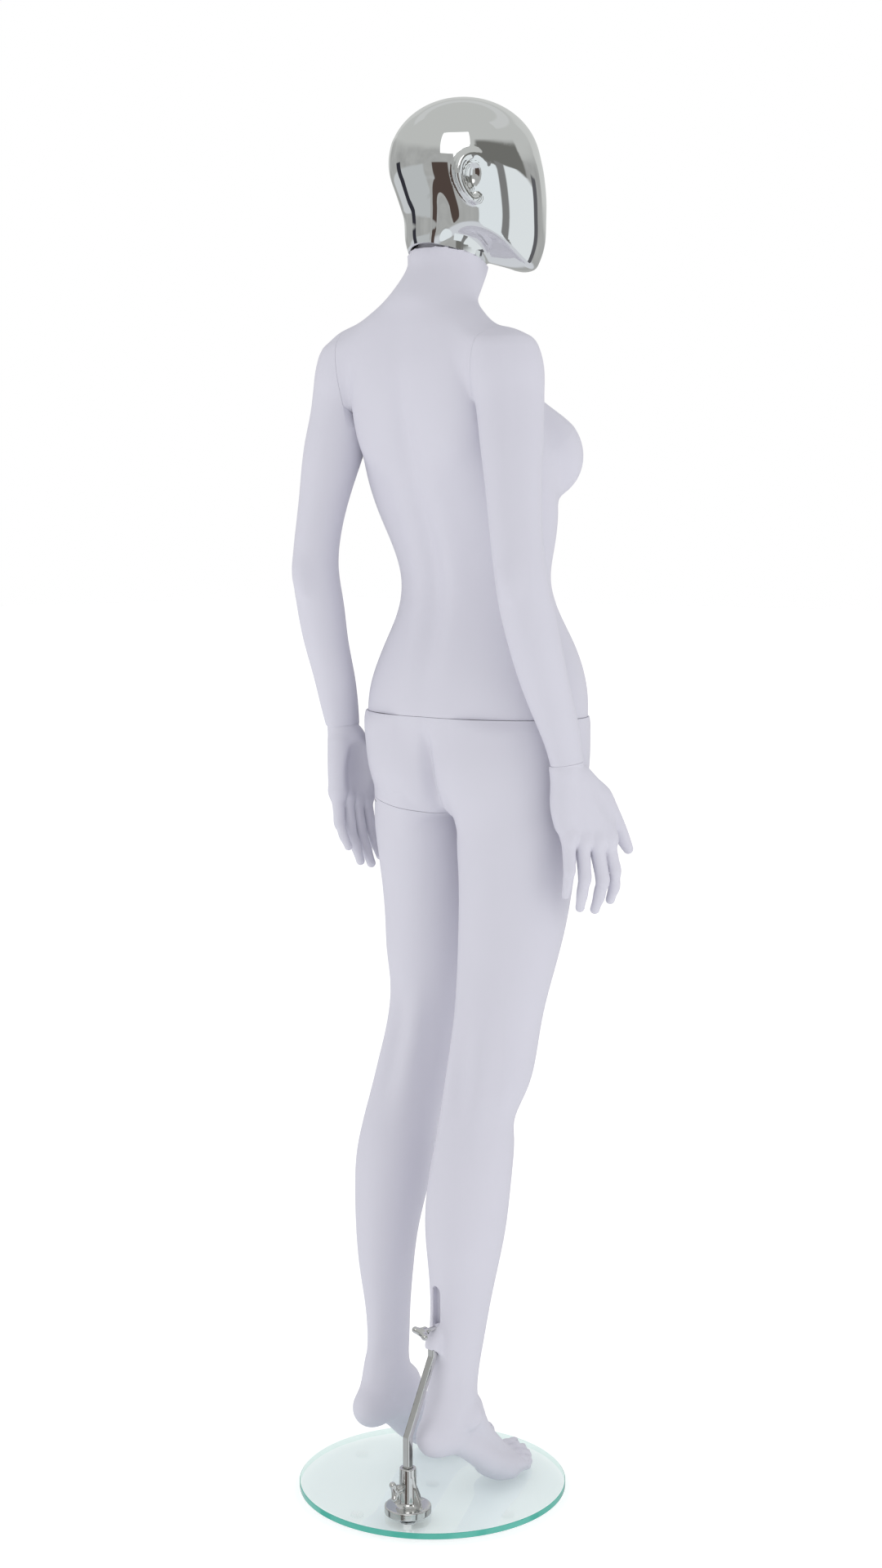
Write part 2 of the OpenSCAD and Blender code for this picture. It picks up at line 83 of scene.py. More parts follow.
# Seams of the shells: a point on the seam and the direction of its axis, in millimetres.
WAIST = ((0, -86, 1018), (0, 0, 1))
NECK = ((0, -31, 1607), turned(15, 0, 0))
# The head reaches down over the end of the neck, which stands this high inside it.
HEAD_EDGE = ((0, -31, 1590), turned(17, 0, 0))
NECK_IN_HEAD = 18
HIP = ((80, -66, 900), turned(0, 172, 0))
SHOULDER = ((125.7, 6.1, 1451.3), turned(0, 95, 15))
RIGHT_WRIST = ((-190, -35, 967), turned(174, 4, 0))
LEFT_WRIST = ((189, -29, 997), turned(174, -3, 0))


def other_side(seam):
    """The seam mirrored to the other side of the body."""
    (x, y, z), (u, v, w) = seam
    return (-x, y, z), (-u, v, w)


# ---------- distance field tools (millimetres; p is x, y, z arrays that broadcast) ----------
def smin(a, b, k):
    """The smaller of two fields, with a fillet of size k between them."""
    h = np.maximum(k - np.abs(a - b), 0) / k
    return np.minimum(a, b) - h * h * k * 0.25


def smax(a, b, k):
    return -smin(-a, -b, k)


def bump(value, centre, width):
    """1 at the centre, falling off to both sides."""
    return np.exp(-(((value - centre) / width) ** 2))


def ramp(value, low, high):
    """0 below low, 1 above high and smooth between them."""
    t = np.clip((value - low) / (high - low), 0, 1)
    return t * t * (3 - 2 * t)


def cubic_columns(rows, step=2.0):
    """Natural cubic splines through the columns of rows, sampled evenly along the first column."""
    rows = np.array(rows, float)
    rows = rows[np.argsort(rows[:, 0])]
    z, values = rows[:, 0], rows[:, 1:]
    gap = np.diff(z)
    count = len(z)
    system = np.eye(count)
    right = np.zeros_like(values)
    slope = np.diff(values, axis=0) / gap[:, None]
    for i in range(1, count - 1):
        system[i, i - 1:i + 2] = gap[i - 1], 2 * (gap[i - 1] + gap[i]), gap[i]
        right[i] = 6 * (slope[i] - slope[i - 1])
    second = np.linalg.solve(system, right)
    at = np.arange(z[0], z[-1] + step, step)
    i = np.clip(np.searchsorted(z, at, side="right") - 1, 0, count - 2)
    h = gap[i][:, None]
    a = (z[i + 1] - at)[:, None] / h
    b = (at - z[i])[:, None] / h
    curve = a * values[i] + b * values[i + 1]
    curve += ((a**3 - a) * second[i] + (b**3 - b) * second[i + 1]) * h * h / 6
    return at, curve.T


class Tube:
    """Solid of sections [z, centre x, centre y, half width, depth front, depth back, power]."""

    def __init__(self, rows):
        self.z, self.columns = cubic_columns(rows)
        self.low, self.high = self.z[0], self.z[-1]

    def __call__(self, p):
        x, y, z = p
        cx, cy, a, front, back, power = (np.interp(z, self.z, c) for c in self.columns)
        dy = y - cy
        b = np.where(dy < 0, front, back)
        u = np.abs(x - cx) / a
        v = np.abs(dy) / b
        rho = (u**power + v**power) ** (1 / power) + 1e-9
        steep = np.hypot((u / rho) ** (power - 1) / a, (v / rho) ** (power - 1) / b) + 1e-9
        ends = np.maximum(z - self.high, self.low - z)
        return smax((rho - 1) / steep, ends, 12)


def ellipsoid(p, centre, radii):
    x, y, z = (q - c for q, c in zip(p, centre))
    a, b, c = radii
    k0 = np.sqrt((x / a) ** 2 + (y / b) ** 2 + (z / c) ** 2) + 1e-9
    k1 = np.sqrt((x / a**2) ** 2 + (y / b**2) ** 2 + (z / c**2) ** 2) + 1e-9
    return k0 * (k0 - 1) / k1


def capsule(p, start, end, r0, r1):
    start, end = np.array(start, float), np.array(end, float)
    along = end - start
    q = [value - s for value, s in zip(p, start)]
    t = np.clip(sum(value * d for value, d in zip(q, along)) / (along @ along), 0, 1)
    away = sum((value - t * d) ** 2 for value, d in zip(q, along))
    return np.sqrt(away) - (r0 + (r1 - r0) * t)


def chain(p, points, k=2.0):
    """Capsules through points [x, y, z, radius]."""
    d = None
    for (*a, ra), (*b, rb) in zip(points, points[1:]):
        piece = capsule(p, a, b, ra, rb)
        d = piece if d is None else smin(d, piece, k)
    return d


def rope(p, points, pieces=3):
    """Smooth tube through points [x, y, z, radius]."""
    points = np.array(points, float)
    numbered = np.column_stack([np.arange(len(points)), points])
    _, columns = cubic_columns(numbered, 1 / pieces)
    return chain(p, columns.T[: pieces * (len(points) - 1) + 1], 0.01)


def mirrored(p):
    return -p[0], p[1], p[2]


# ---------- sections of the body ----------
TORSO = Tube([
    [960, 0, -84, 164, 104, 98, 2.15],
    [990, 0, -85, 165, 92, 101, 2.15],
    [1018, 0, -86, 163, 99, 105, 2.15],
    [1050, 0, -88, 159, 101, 106, 2.15],
    [1080, 0, -91, 150, 98, 105, 2.1],
    [1110, 0, -91, 135, 95, 98, 2.1],
    [1145, 0, -89, 116, 86, 88, 2.1],
    [1190, 0, -84, 106, 77, 80, 2.1],
    [1230, 0, -80, 114, 79, 84, 2.15],
    [1275, 0, -70, 128, 81, 90, 2.2],
    [1320, 0, -56, 134, 84, 93, 2.2],
    [1355, 0, -44, 132, 87, 90, 2.2],
    [1400, 0, -25, 120, 82, 82, 2.2],
    [1430, 0, -10, 118, 74, 72, 2.2],
    [1460, 0, 2, 120, 62, 61, 2.15],
    [1490, 0, 10, 116, 49, 48, 2.1],
    [1508, 0, 12, 104, 43, 42, 2.05],
    [1524, 0, 8, 84, 43, 42, 2.0],
    [1538, 0, 1, 66, 46, 46, 2.0],
    [1556, 0, -13, 56, 50, 50, 2.0],
    [1580, 0, -29, 51, 51, 51, 2.0],
    [1606, 0, -35, 50, 50, 50, 2.0],
    [1640, 0, -45, 48, 48, 50, 2.0],
])
PELVIS = Tube([
    [893, 0, -66, 92, 52, 50, 2.1],
    [905, 0, -73, 130, 64, 62, 2.1],
    [925, 0, -80, 152, 76, 76, 2.15],
    [950, 0, -85, 161, 78, 88, 2.15],
    [985, 0, -85, 165, 90, 98, 2.15],
    [1018, 0, -86, 163, 99, 105, 2.15],
    [1050, 0, -88, 159, 101, 106, 2.15],
    [1070, 0, -90, 154, 104, 105, 2.15],
])
RIGHT_LEG = Tube([
    [120, -64, 42, 26, 30, 34, 2.0],
    [150, -65, 36, 28, 36, 36, 2.0],
    [180, -65, 31, 28, 37, 36, 2.0],
    [212, -65, 27, 31, 39, 38, 2.0],
    [264, -67, 21, 35, 42, 42, 2.0],
    [315, -69, 17, 42, 47, 48, 2.0],
    [367, -71, 15, 49, 54, 55, 2.0],
    [430, -73, 10, 50, 58, 56, 2.0],
    [476, -75, 3, 48, 55, 53, 2.0],
    [517, -77, -7, 46, 49, 50, 2.05],
    [545, -79, -18, 49, 52, 50, 2.1],
    [590, -80, -29, 53, 56, 54, 2.05],
    [640, -81, -37, 56, 59, 57, 2.0],
    [690, -82, -48, 61, 64, 62, 2.0],
    [750, -83, -60, 67, 72, 70, 2.0],
    [820, -84, -68, 72, 78, 78, 2.0],
    [870, -85, -69, 76, 84, 80, 2.0],
    [920, -86, -74, 76, 84, 82, 2.0],
    [965, -84, -76, 76, 84, 84, 2.0],
    [1000, -82, -78, 70, 82, 84, 2.0],
])
LEFT_LEG = Tube([
    [125, 67, 24, 24, 28, 32, 2.0],
    [160, 67, 17, 25, 32, 32, 2.0],
    [190, 67, 14, 25, 32, 31, 2.0],
    [231, 68, 13, 27, 33, 32, 2.0],
    [284, 69, 14, 33, 38, 38, 2.0],
    [337, 70, 11, 39, 43, 44, 2.0],
    [394, 72, 0, 46, 51, 52, 2.0],
    [438, 73, -9, 49, 54, 55, 2.0],
    [488, 75, -26, 48, 53, 53, 2.0],
    [536, 76, -52, 49, 53, 52, 2.1],
    [585, 77, -72, 50, 54, 52, 2.05],
    [637, 77, -85, 54, 59, 57, 2.0],
    [689, 78, -90, 61, 66, 65, 2.0],
    [742, 79, -92, 66, 72, 72, 2.0],
    [820, 81, -84, 70, 77, 78, 2.0],
    [870, 83, -74, 74, 84, 80, 2.0],
    [920, 86, -74, 76, 84, 82, 2.0],
    [965, 84, -76, 76, 84, 84, 2.0],
    [1000, 82, -78, 70, 82, 84, 2.0],
])


def arm_rows(rows):
    """Sections [z, x, y, half width, half depth]."""
    return [[z, x, y, wide, deep, deep, 2.0] for z, x, y, wide, deep in rows]


# Both arms are written for the left side, x > 0.
RIGHT_ARM = Tube(arm_rows([
    [925, 193, -48, 18, 23],
    [955, 191, -40, 18.2, 23.6],
    [985, 189, -33, 19.8, 25.5],
    [1013, 186, -25, 24, 28],
    [1062, 180, -8, 30, 30],
    [1110, 178, 9, 32.5, 32.5],
    [1157, 175, 22, 33.5, 33.5],
    [1204, 173, 33, 32, 32],
    [1250, 167, 34, 32, 32],
    [1297, 160, 30, 34, 34],
    [1367, 148, 21, 39, 39],
    [1410, 140, 15, 42, 42],
    [1450, 132, 13, 43, 43],
    [1480, 127, 13, 38, 38],
]))
LEFT_ARM = Tube(arm_rows([
    [955, 192, -40, 17.5, 22.5],
    [985, 190, -33, 18.5, 24.5],
    [1013, 188, -25, 22, 26.5],
    [1062, 183, -8, 27.5, 27.5],
    [1110, 181, 9, 29.5, 29.5],
    [1157, 178, 22, 31, 31],
    [1204, 175, 33, 30, 30],
    [1250, 169, 34, 30, 30],
    [1297, 161, 30, 33, 33],
    [1367, 148, 21, 40.5, 40.5],
    [1410, 140, 15, 42, 42],
    [1450, 132, 13, 43, 43],
    [1480, 124, 13, 38, 38],
]))
# Centres of the shoulder caps.
LEFT_CAP = (123, 13, 1460)
RIGHT_CAP = (129, 13, 1449)


# ---------- torso, pelvis, legs and arms ----------
def arm_solid(p, tube, cap):
    """The arm of the left side, from the shoulder cap to the wrist."""
    d = smin(tube(p), ellipsoid(p, cap, (43.5, 41, 48)), 18)
    elbow = ellipsoid(p, (176, 53, 1196), (12, 13, 24))
    return smin(d, elbow, 14)


def torso_solid(p):
    x, y, z = p
    z = z - 0.045 * x * ramp(z, 1440, 1500) * (1 - ramp(z, 1540, 1590))
    p = (x, y, z)
    q = (np.abs(x), y, z)
    d = TORSO(p)
    # breasts with their upper slope
    breast = ellipsoid(q, (73, -119, 1344), (56, 58, 54))
    slope = capsule(q, (71, -110, 1358), (58, -62, 1440), 50, 24)
    d = smin(d, smin(breast, slope, 30), 20)
    # shoulder blades and the muscles along the spine
    d = smin(d, ellipsoid(q, (62, 24, 1420), (34, 22, 66)), 44)
    back = ramp(y, -60, -10)
    low_back = bump(z, 1190, 130) * back
    d = d + (5.5 * low_back + 3.0 * bump(z, 1390, 120) * back) * bump(x, 0, 15)
    d = d - 3.0 * low_back * bump(q[0], 34, 17)
    # collar bones, the notch between them, and the muscle edges of the neck
    bone = rope(q, [(15, -39, 1497, 4.5), (38, -35, 1498, 4.5), (62, -26, 1501, 3.5), (84, -20, 1502, 1.0)])
    d = smin(d, bone, 16)
    d = d + 2.5 * np.exp(-(x / 13) ** 2 - ((z - 1508) / 13) ** 2) * ramp(-y, 0, 20)
    neck_edge = capsule(q, (16, -38, 1515), (44, -16, 1605), 4, 5)
    d = smin(d, neck_edge, 24)
    # navel, the line above it and the hollow under the ribs
    front = ramp(-y, 90, 130)
    d = d + 5.0 * np.exp(-(x / 5.5) ** 2 - ((z - 1112) / 7) ** 2) * front
    d = d + 2.0 * bump(x, 0, 13) * bump(z, 1200, 75) * front
    return d


def left_hip_trim(p):
    """How much further in the outer back of the left hip and thigh lies, with the fold under the seat."""
    x, y, z = p
    outward = ramp(0.743 * x + 0.669 * y, 10, 80)
    heights = [700, 745, 810, 863, 890, 918, 942, 974, 1005, 1016]
    depths = [0, 3, 6, 12, 15, 18, 13, 8, 2, 0]
    return np.interp(z, heights, depths) * outward


def pelvis_solid(p):
    x, y, z = p
    q = (np.abs(x), y, z)
    d = PELVIS(p)
    seat = ellipsoid(q, (62, -40, 952), (66, 67, 78))
    d = smin(d, seat, 22)
    # the cleft between the buttocks, fading out below the waist seam
    d = d + 6.5 * bump(x, 0, 9) * (1 - ramp(z, 975, 1016)) * ramp(y, -45, -5)
    # the low spine runs on into it
    d = d + 2.0 * bump(x, 0, 14) * ramp(z, 985, 1020) * ramp(y, -45, -5)
    return d + left_hip_trim(p)


def with_tendons(d, p, points):
    """Adds the tendons on both sides of a knee: points [x, distance aside, y, z, radius]."""
    for side in (-1, 1):
        tendon = rope(p, [(x + aside * side, y, z, r) for x, aside, y, z, r in points])
        d = smin(d, tendon, 20)
    return d


def right_leg_solid(p):
    x, y, z = p
    d = RIGHT_LEG(p)
    d = smin(d, ellipsoid(p, (-78, -52, 543), (21, 20, 27)), 12)
    d = d + 2.4 * np.exp(-((z - 505) / 20) ** 2) * (bump(x, -104, 14) + bump(x, -52, 14)) * ramp(-y, 10, 30)
    d = with_tendons(d, p, [(-79, 18, 2, 650, 3), (-78, 20, 14, 590, 8), (-77, 21, 24, 540, 8.5),
                            (-76, 20, 30, 480, 3)])
    d = smin(d, ellipsoid(p, (-93, 24, 124), (8, 11, 13)), 14)
    d = smin(d, ellipsoid(p, (-38, 14, 130), (8, 11, 13)), 14)
    # hollows beside the heel tendon
    d = d + 2.2 * bump(z, 160, 35) * (bump(x, -86, 9) + bump(x, -44, 9)) * ramp(y, 36, 54)
    return d


def left_leg_solid(p):
    x, y, z = p
    d = LEFT_LEG(p)
    d = smin(d, ellipsoid(p, (76, -90, 545), (21, 18, 27)), 12)
    d = with_tendons(d, p, [(79, 18, -46, 650, 3), (77, 19, -30, 590, 8), (76, 20, -13, 540, 8.5),
                            (75, 19, 6, 480, 3)])
    d = smin(d, ellipsoid(p, (93, 9, 124), (8, 11, 13)), 14)
    d = smin(d, ellipsoid(p, (44, 0, 130), (7, 10, 12)), 14)
    d = d + 2.0 * bump(z, 160, 35) * (bump(x, 86, 9) + bump(x, 48, 9)) * ramp(y, 20, 36)
    return d + left_hip_trim(p)


# Toes of the right foot from the big one outwards: points [x, y, z, radius] from the root to the tip.
TOES = [
    [(-38, -90, 27, 12.5), (-32, -114, 26, 10.5), (-29.5, -129.5, 22.5, 9.8)],
    [(-51, -90, 26, 9.5), (-48, -111, 29, 7.8), (-46.5, -127.5, 21.5, 7.8)],
    [(-62, -84, 25, 9.2), (-61.5, -104, 27.5, 7.4), (-61, -119.5, 20.5, 7.3)],
    [(-72, -76, 24, 9.0), (-73, -95, 25.5, 7.0), (-72.5, -108, 19.8, 7.0)],
    [(-80, -66, 23, 9.0), (-81, -84, 23.5, 7.0), (-78.5, -98, 19, 6.8)],
]


def foot_solid(p):
    """The right foot on its ball, with the heel raised."""
    x, y, z = p
    d = chain(p, [(-64, 36, 150, 26), (-64, 46, 112, 26), (-65, 54, 104, 24)], 4)
    d = smin(d, ellipsoid(p, (-64, 61, 104), (24, 31, 28)), 8)
    instep = rope(p, [(-62, 14, 122, 30), (-60, -11, 88, 24), (-58, -42, 58, 20), (-55, -72, 38, 14)])
    d = smin(d, instep, 12)
    outer = rope(p, [(-69, 42, 98, 20), (-75, 8, 74, 17), (-78, -24, 46, 17), (-77, -56, 30, 15)])
    d = smin(d, outer, 12)
    inner = rope(p, [(-57, 30, 102, 20), (-51, -24, 74, 14), (-46, -60, 40, 15), (-43, -84, 29, 14)])
    d = smin(d, inner, 12)
    d = smin(d, ellipsoid(p, (-62, -58, 28), (31, 30, 15)), 10)
    toes = None
    for toe in TOES:
        one = chain(p, toe, 3)
        toes = one if toes is None else smin(toes, one, 2.2)
    d = smin(d, toes, 11)
    for toe in TOES:
        tx, ty, tz, r = toe[-1]
        nail = ellipsoid(p, (tx, ty - 0.5, tz + r - 0.8), (r * 0.62, r * 0.72, 1.5))
        d = smin(d, nail, 0.8)
    return smax(d, GLASS_TOP - z, 4)


def left_foot_solid(p):
    """The right foot mirrored, and moved to where the left one stands."""
    x, y, z = p
    return foot_solid((2 - x, y + 18, z))


# Where the rod stands in the flange and in the calf, seen from above.
FLANGE_PLACE = (-53, 105)
CALF_PLACE = (-64, 70)
# Half widths of the rod and of the holes that it goes through.
ROD_HALF = 4.7
HOLE_HALF = 5.6
# The rod's bends and ends: (height, x, y).
ROD_STOPS = [(26, *FLANGE_PLACE), (112, *FLANGE_PLACE), (212, *CALF_PLACE), (223, *CALF_PLACE)]


def calf_slot(p):
    """Round-topped recess in the back of the right calf, above the collar of the rod."""
    x, y, z = p
    aside = np.abs(x + 62.5)
    opening = np.hypot(aside, np.maximum(z - 293, 0)) - 7
    return smax(smax(opening, 240 - z, 1.5), 51 - y, 3)


def calf_collar(p):
    """Collar round the rod, cut off on a slant at its foot, with the square hole of the rod."""
    x, y, z = p
    collar = rope(p, [(-64, 58, 246, 5), (-64, 66, 236, 9), (-64, 70, 226, 9.8), (-64, 70, 208, 9.8)])
    return smax(collar, 0.88 * (214 + 0.5 * (y - 62) - z), 2.5)


def rod_hole(p):
    x, y, z = p
    across = np.maximum(np.abs(x - CALF_PLACE[0]), np.abs(y - CALF_PLACE[1])) - HOLE_HALF
    return np.maximum(across, np.abs(z - 213) - 11)


def rod_hollow(p):
    """Shallow hollow below the collar that the rod passes when the figure is lifted."""
    x, y, z = p
    return 3.0 * bump(x, -64, 12) * ramp(z, 138, 160) * (1 - ramp(z, 196, 214)) * ramp(y, 40, 60)


def flange_field(p):
    """Round foot, round tower and three ribs that run into each other, with the square hole of the rod."""
    x, y, z = p
    x, y = x - FLANGE_PLACE[0], y - FLANGE_PLACE[1]
    r = np.hypot(x, y)
    foot = smax(r - 29.8, np.abs(z - 17.8) - 5.2, 2)
    tower = smax(r - 10.6 - 0.02 * (72 - z), np.abs(z - 44) - 28, 1.2)
    d = smin(foot, tower, 7)
    spread_out = 25 - 15 * ramp(z, 16, 62)
    for side_x, side_y in ((1, 0), (-1, 0), (0, -1)):
        along = x * side_x + y * side_y
        across = np.abs(x * side_y + y * side_x) - 2.2
        rib = smax(smax(across, along - spread_out, 1.5), np.maximum(-along, z - 60), 1.5)
        d = smin(d, rib, 3)
    hole = np.maximum(np.maximum(np.abs(x), np.abs(y)) - HOLE_HALF, 25 - z)
    return smax(smax(d, -hole, 0.6), 13 - z, 0.4)


def rod_field(p):
    """Square bar with rounded edges and two slanting bends."""
    x, y, z = p
    heights, centre_x, centre_y = zip(*ROD_STOPS)
    across_x = np.abs(x - np.interp(z, heights, centre_x))
    across_y = np.abs(y - np.interp(z, heights, centre_y))
    ends = np.maximum(heights[0] - z, z - heights[-1])
    return smax(smax(across_x, across_y, 1.6) - ROD_HALF, ends, 1.0)


def wing_screw(p, base, length, lean):
    """Screw along +Y from its base, with a round head and two thick wings that lean from the vertical."""
    x, y, z = (value - at for value, at in zip(p, base))
    up, aside = math.cos(lean), math.sin(lean)
    q = (np.abs(x * aside + z * up), y, x * up - z * aside)
    r = np.hypot(q[0], q[2])
    shank = smax(r - 3, np.abs(y - length / 2) - length / 2, 0.5)
    head = smax(r - 6.4, np.abs(y - length - 3) - 4.5, 1.5)
    wing = rope(q, [(0, length + 7, 0, 5), (5, length + 8.5, 0, 4.4), (8.5, length + 10, 0, 4.2)])
    return smin(smin(shank, head, 1), wing, 2)


def flange_screw_field(p):
    return wing_screw(p, (-53, 110.5, 48), 11, math.radians(12))


def calf_screw_field(p):
    return wing_screw(p, (-64, 66, 247), 18, math.radians(70))


def hips_field(p):
    """Pelvis with the right leg, and the stub of the left thigh."""
    x, y, z = p
    body = pelvis_solid(p)
    k = 7 + 26 * ramp(np.abs(x), 14, 60)
    leg = smin(right_leg_solid(p), foot_solid(p), 14)
    d = smin(body, leg, k)
    stub = left_leg_solid(p) + 1.5 * np.maximum(880 - z, 0)
    d = smin(d, stub, k)
    d = smax(d + rod_hollow(p), -calf_slot(p), 1.2)
    d = smin(d, calf_collar(p), 8)
    return smax(d, -rod_hole(p), 0.8)


def left_leg_field(p):
    x, y, z = p
    k = 7 + 26 * ramp(np.abs(x), 14, 60)
    leg = smin(left_leg_solid(p), left_foot_solid(p), 14)
    body = pelvis_solid(p) + 3.0 * np.maximum(-x, 0)
    return smin(leg, body, k)


def shoulder_blend(z):
    return 5 + 26 * ramp(z, 1404, 1500)


def below_armpit(z):
    return 0.22 * np.maximum(1412 - z, 0) ** 1.6


def beyond(p, seam):
    """How far p is along the axis of a seam."""
    place, axis = seam
    return sum((value - at) * along for value, at, along in zip(p, place, axis))


def torso_field(p):
    z = p[2]
    d = torso_solid(p) + 8 * ramp(beyond(p, HEAD_EDGE), -0.5, 0.5)
    k = shoulder_blend(z)
    for q, tube, cap in ((p, LEFT_ARM, LEFT_CAP), (mirrored(p), RIGHT_ARM, RIGHT_CAP)):
        d = smin(d, arm_solid(q, tube, cap) + below_armpit(z), k)
    return d


def beside_torso(p, seam):
    """The torso as far as an arm blends into it: only next to the shoulder seam."""
    return np.maximum(torso_solid(p) + below_armpit(p[2]), -beyond(p, seam) - 6)


def left_arm_field(p):
    return smin(arm_solid(p, LEFT_ARM, LEFT_CAP), beside_torso(p, SHOULDER), shoulder_blend(p[2]))


def right_arm_field(p):
    arm = arm_solid(mirrored(p), RIGHT_ARM, RIGHT_CAP)
    return smin(arm, beside_torso(p, other_side(SHOULDER)), shoulder_blend(p[2]))


# ---------- hands, in their own frame: w to the thumb side, n to the palm, d down from the wrist ----------
# Points [w, n, d, radius] from the knuckle to the tip, and from the root of the thumb.
RIGHT_FINGERS = [
    [(61, 0, 96, 10.8), (71, -1, 137, 8.4), (77, 8, 159, 7.6), (77, 17, 177, 5.8)],
    [(44, -1, 97, 11), (54, -1, 148, 8.7), (55.5, 9, 170, 7.7), (55.5, 19, 188, 6)],
    [(25, 0, 96, 10.6), (28.4, 0, 143, 8.2), (30.5, 9, 166, 7.3), (33, 18, 184, 5.8)],
    [(6, 1, 90, 10.2), (6, 0, 132, 7.5), (6.8, 5, 150, 6.5), (7.6, 11, 165, 5.3)],
]
RIGHT_THUMB = [(24, 8, 17, 16), (56, 13, 46, 15), (77, 15, 71, 12), (93, 17.5, 96, 9.6),
               (105, 20, 114.5, 6.6)]
LEFT_FINGERS = [
    [(41, 0, 100, 10.6), (50.6, 4, 146, 8.2), (51, 12, 165, 7.4), (50, 22, 182, 5.8)],
    [(24, -1, 102, 10.8), (31, 4, 151, 8.6), (31.5, 14, 173, 7.6), (30.2, 24, 190, 6)],
    [(7, 0, 100, 10.4), (11.6, 4, 147, 8.2), (12.5, 13, 167, 7.3), (10.5, 23, 185, 5.8)],
    [(-10, 1, 92, 10), (-9.5, 4, 132, 7.5), (-9.4, 11, 150, 6.5), (-8.5, 19, 164, 5.3)],
]
LEFT_THUMB = [(14, 8, 19, 15), (36, 13, 48, 14), (51, 16, 73, 11.5), (63, 18, 97, 9.4),
              (73, 20, 114.5, 6.6)]
# Pads of the palm on the little finger side.
RIGHT_HEEL = [(-2, 4, 22, 13), (-5, 5, 50, 12.5), (-1, 4, 76, 11)]
LEFT_HEEL = [(-9, 4, 26, 14), (-12, 5, 52, 14), (-12, 4, 86, 12)]


def with_waists(finger):
    """Points half way between the joints, a little thinner than the joints."""
    points = [finger[0]]
    for a, b in zip(finger, finger[1:]):
        middle = [(i + j) / 2 for i, j in zip(a, b)]
        points.append([*middle[:3], middle[3] * 0.95])
        points.append(b)
    return points


def hand_solid(p, fingers, thumb, heel):
    d = capsule(p, (0, 0, -14), (0, 0, 10), 15, 15)
    palm = None
    for k, finger in enumerate(fingers):
        w, n, depth, r = finger[0]
        bone = rope(p, [(5 - 4 * k, 0, 6, 13), (w * 0.35 + 3 - 2 * k, 0.5, depth * 0.4, 13), finger[0]])
        palm = bone if palm is None else smin(palm, bone, 9)
    d = smin(d, palm, 8)
    # the pads of the palm, thumb side and little finger side
    d = smin(d, rope(p, heel), 8)
    d = smin(d, rope(p, thumb), 14)
    web = capsule(p, thumb[1][:3], fingers[0][0][:3], 9, 7)
    d = smin(d, web, 20)
    # the hollow of the palm
    mid_w = (fingers[1][0][0] + fingers[2][0][0]) / 2
    d = smax(d, -ellipsoid(p, (mid_w * 0.8 - 2, 23, 62), (19, 12, 32)), 12)
    digits = None
    for finger in fingers:
        one = rope(p, with_waists(finger))
        w, n, depth, r = finger[1]
        one = smin(one, ellipsoid(p, (w, n - 1.8, depth), (r * 0.8, r * 0.75, r * 1.3)), 4)
        digits = one if digits is None else smin(digits, one, 1.2)
    d = smin(d, digits, 6)
    for finger in fingers:
        w, n, depth, r = finger[0]
        d = smin(d, ellipsoid(p, (w, n - 4.5, depth), (5, 6.5, 10)), 9)
    return d


def hand_frame(wrist, angle, flip):
    """Origin and the directions w, n and d of a hand that hangs from a wrist."""
    place = np.array(wrist[0], float)
    w = np.array([math.cos(angle), math.sin(angle), 0])
    n = np.array([-w[1], w[0], 0]) * flip
    return place, w, n, np.array([0, 0, -1.0])


RIGHT_HAND = hand_frame(RIGHT_WRIST, math.radians(250), 1)
LEFT_HAND = hand_frame(LEFT_WRIST, math.radians(270), -1)


def in_hand(p, hand):
    place, *axes = hand
    q = [value - c for value, c in zip(p, place)]
    return tuple(sum(value * a for value, a in zip(q, axis)) for axis in axes)


def onto_wrist(hand, arm, below):
    """Melts a hand into the end of the arm, more and more with the distance below the wrist seam."""
    return smin(hand, arm + 0.5 * np.maximum(below, 0), 1 + 13 * ramp(below, 2, 30))


def right_hand_field(p):
    d = hand_solid(in_hand(p, RIGHT_HAND), RIGHT_FINGERS, RIGHT_THUMB, RIGHT_HEEL)
    return onto_wrist(d, RIGHT_ARM(mirrored(p)), RIGHT_WRIST[0][2] - p[2])


def left_hand_field(p):
    d = hand_solid(in_hand(p, LEFT_HAND), LEFT_FINGERS, LEFT_THUMB, LEFT_HEEL)
    return onto_wrist(d, LEFT_ARM(p), LEFT_WRIST[0][2] - p[2])


# ---------- head, in its own frame: x to the side, y back from the face, turned about the neck ----------
SKULL = Tube([
    [1560, 0, -40, 30, 60, 50, 2.2],
    [1584, 0, -40, 44, 74, 64, 2.2],
    [1612, 0, -37, 56, 86, 80, 2.2],
    [1637, 0, -37, 63, 87, 81, 2.2],
    [1661, 0, -33, 68, 91, 87, 2.2],
    [1684, 0, -28, 72, 94, 91, 2.2],
    [1708, 0, -23, 74, 95, 93, 2.15],
    [1732, 0, -20, 68, 90, 91, 2.1],
    [1756, 0, -18, 54, 76, 76, 2.05],
    [1780, 0, -17, 30, 50, 50, 2.0],
])
# The edge of the jaw seen from the side, and the line under the middle of it: [distance forward, z].
JAW_EDGE = [[-60, 1636], [-20, 1631], [0, 1628.5], [17, 1627], [34, 1622.5], [51, 1615.5], [69, 1606],
            [85, 1594], [102, 1580], [130, 1556]]
JAW_MIDDLE = [[-60, 1604], [0, 1597], [30, 1592], [60, 1586], [90, 1580], [104, 1579], [130, 1582]]
# The rim of the ear: [out of the skull, distance forward, z, radius].
EAR = [(-2, 30, 1699, 3.4), (0, 22, 1707, 4.2), (2.5, 10, 1709, 5.0), (4, 0, 1702, 5.4),
       (4.5, -4, 1690, 5.4), (3.5, -2, 1677, 5.2), (2, 5, 1664, 5.0), (0.5, 14, 1656, 4.8),
       (-1, 20, 1657, 4.2)]


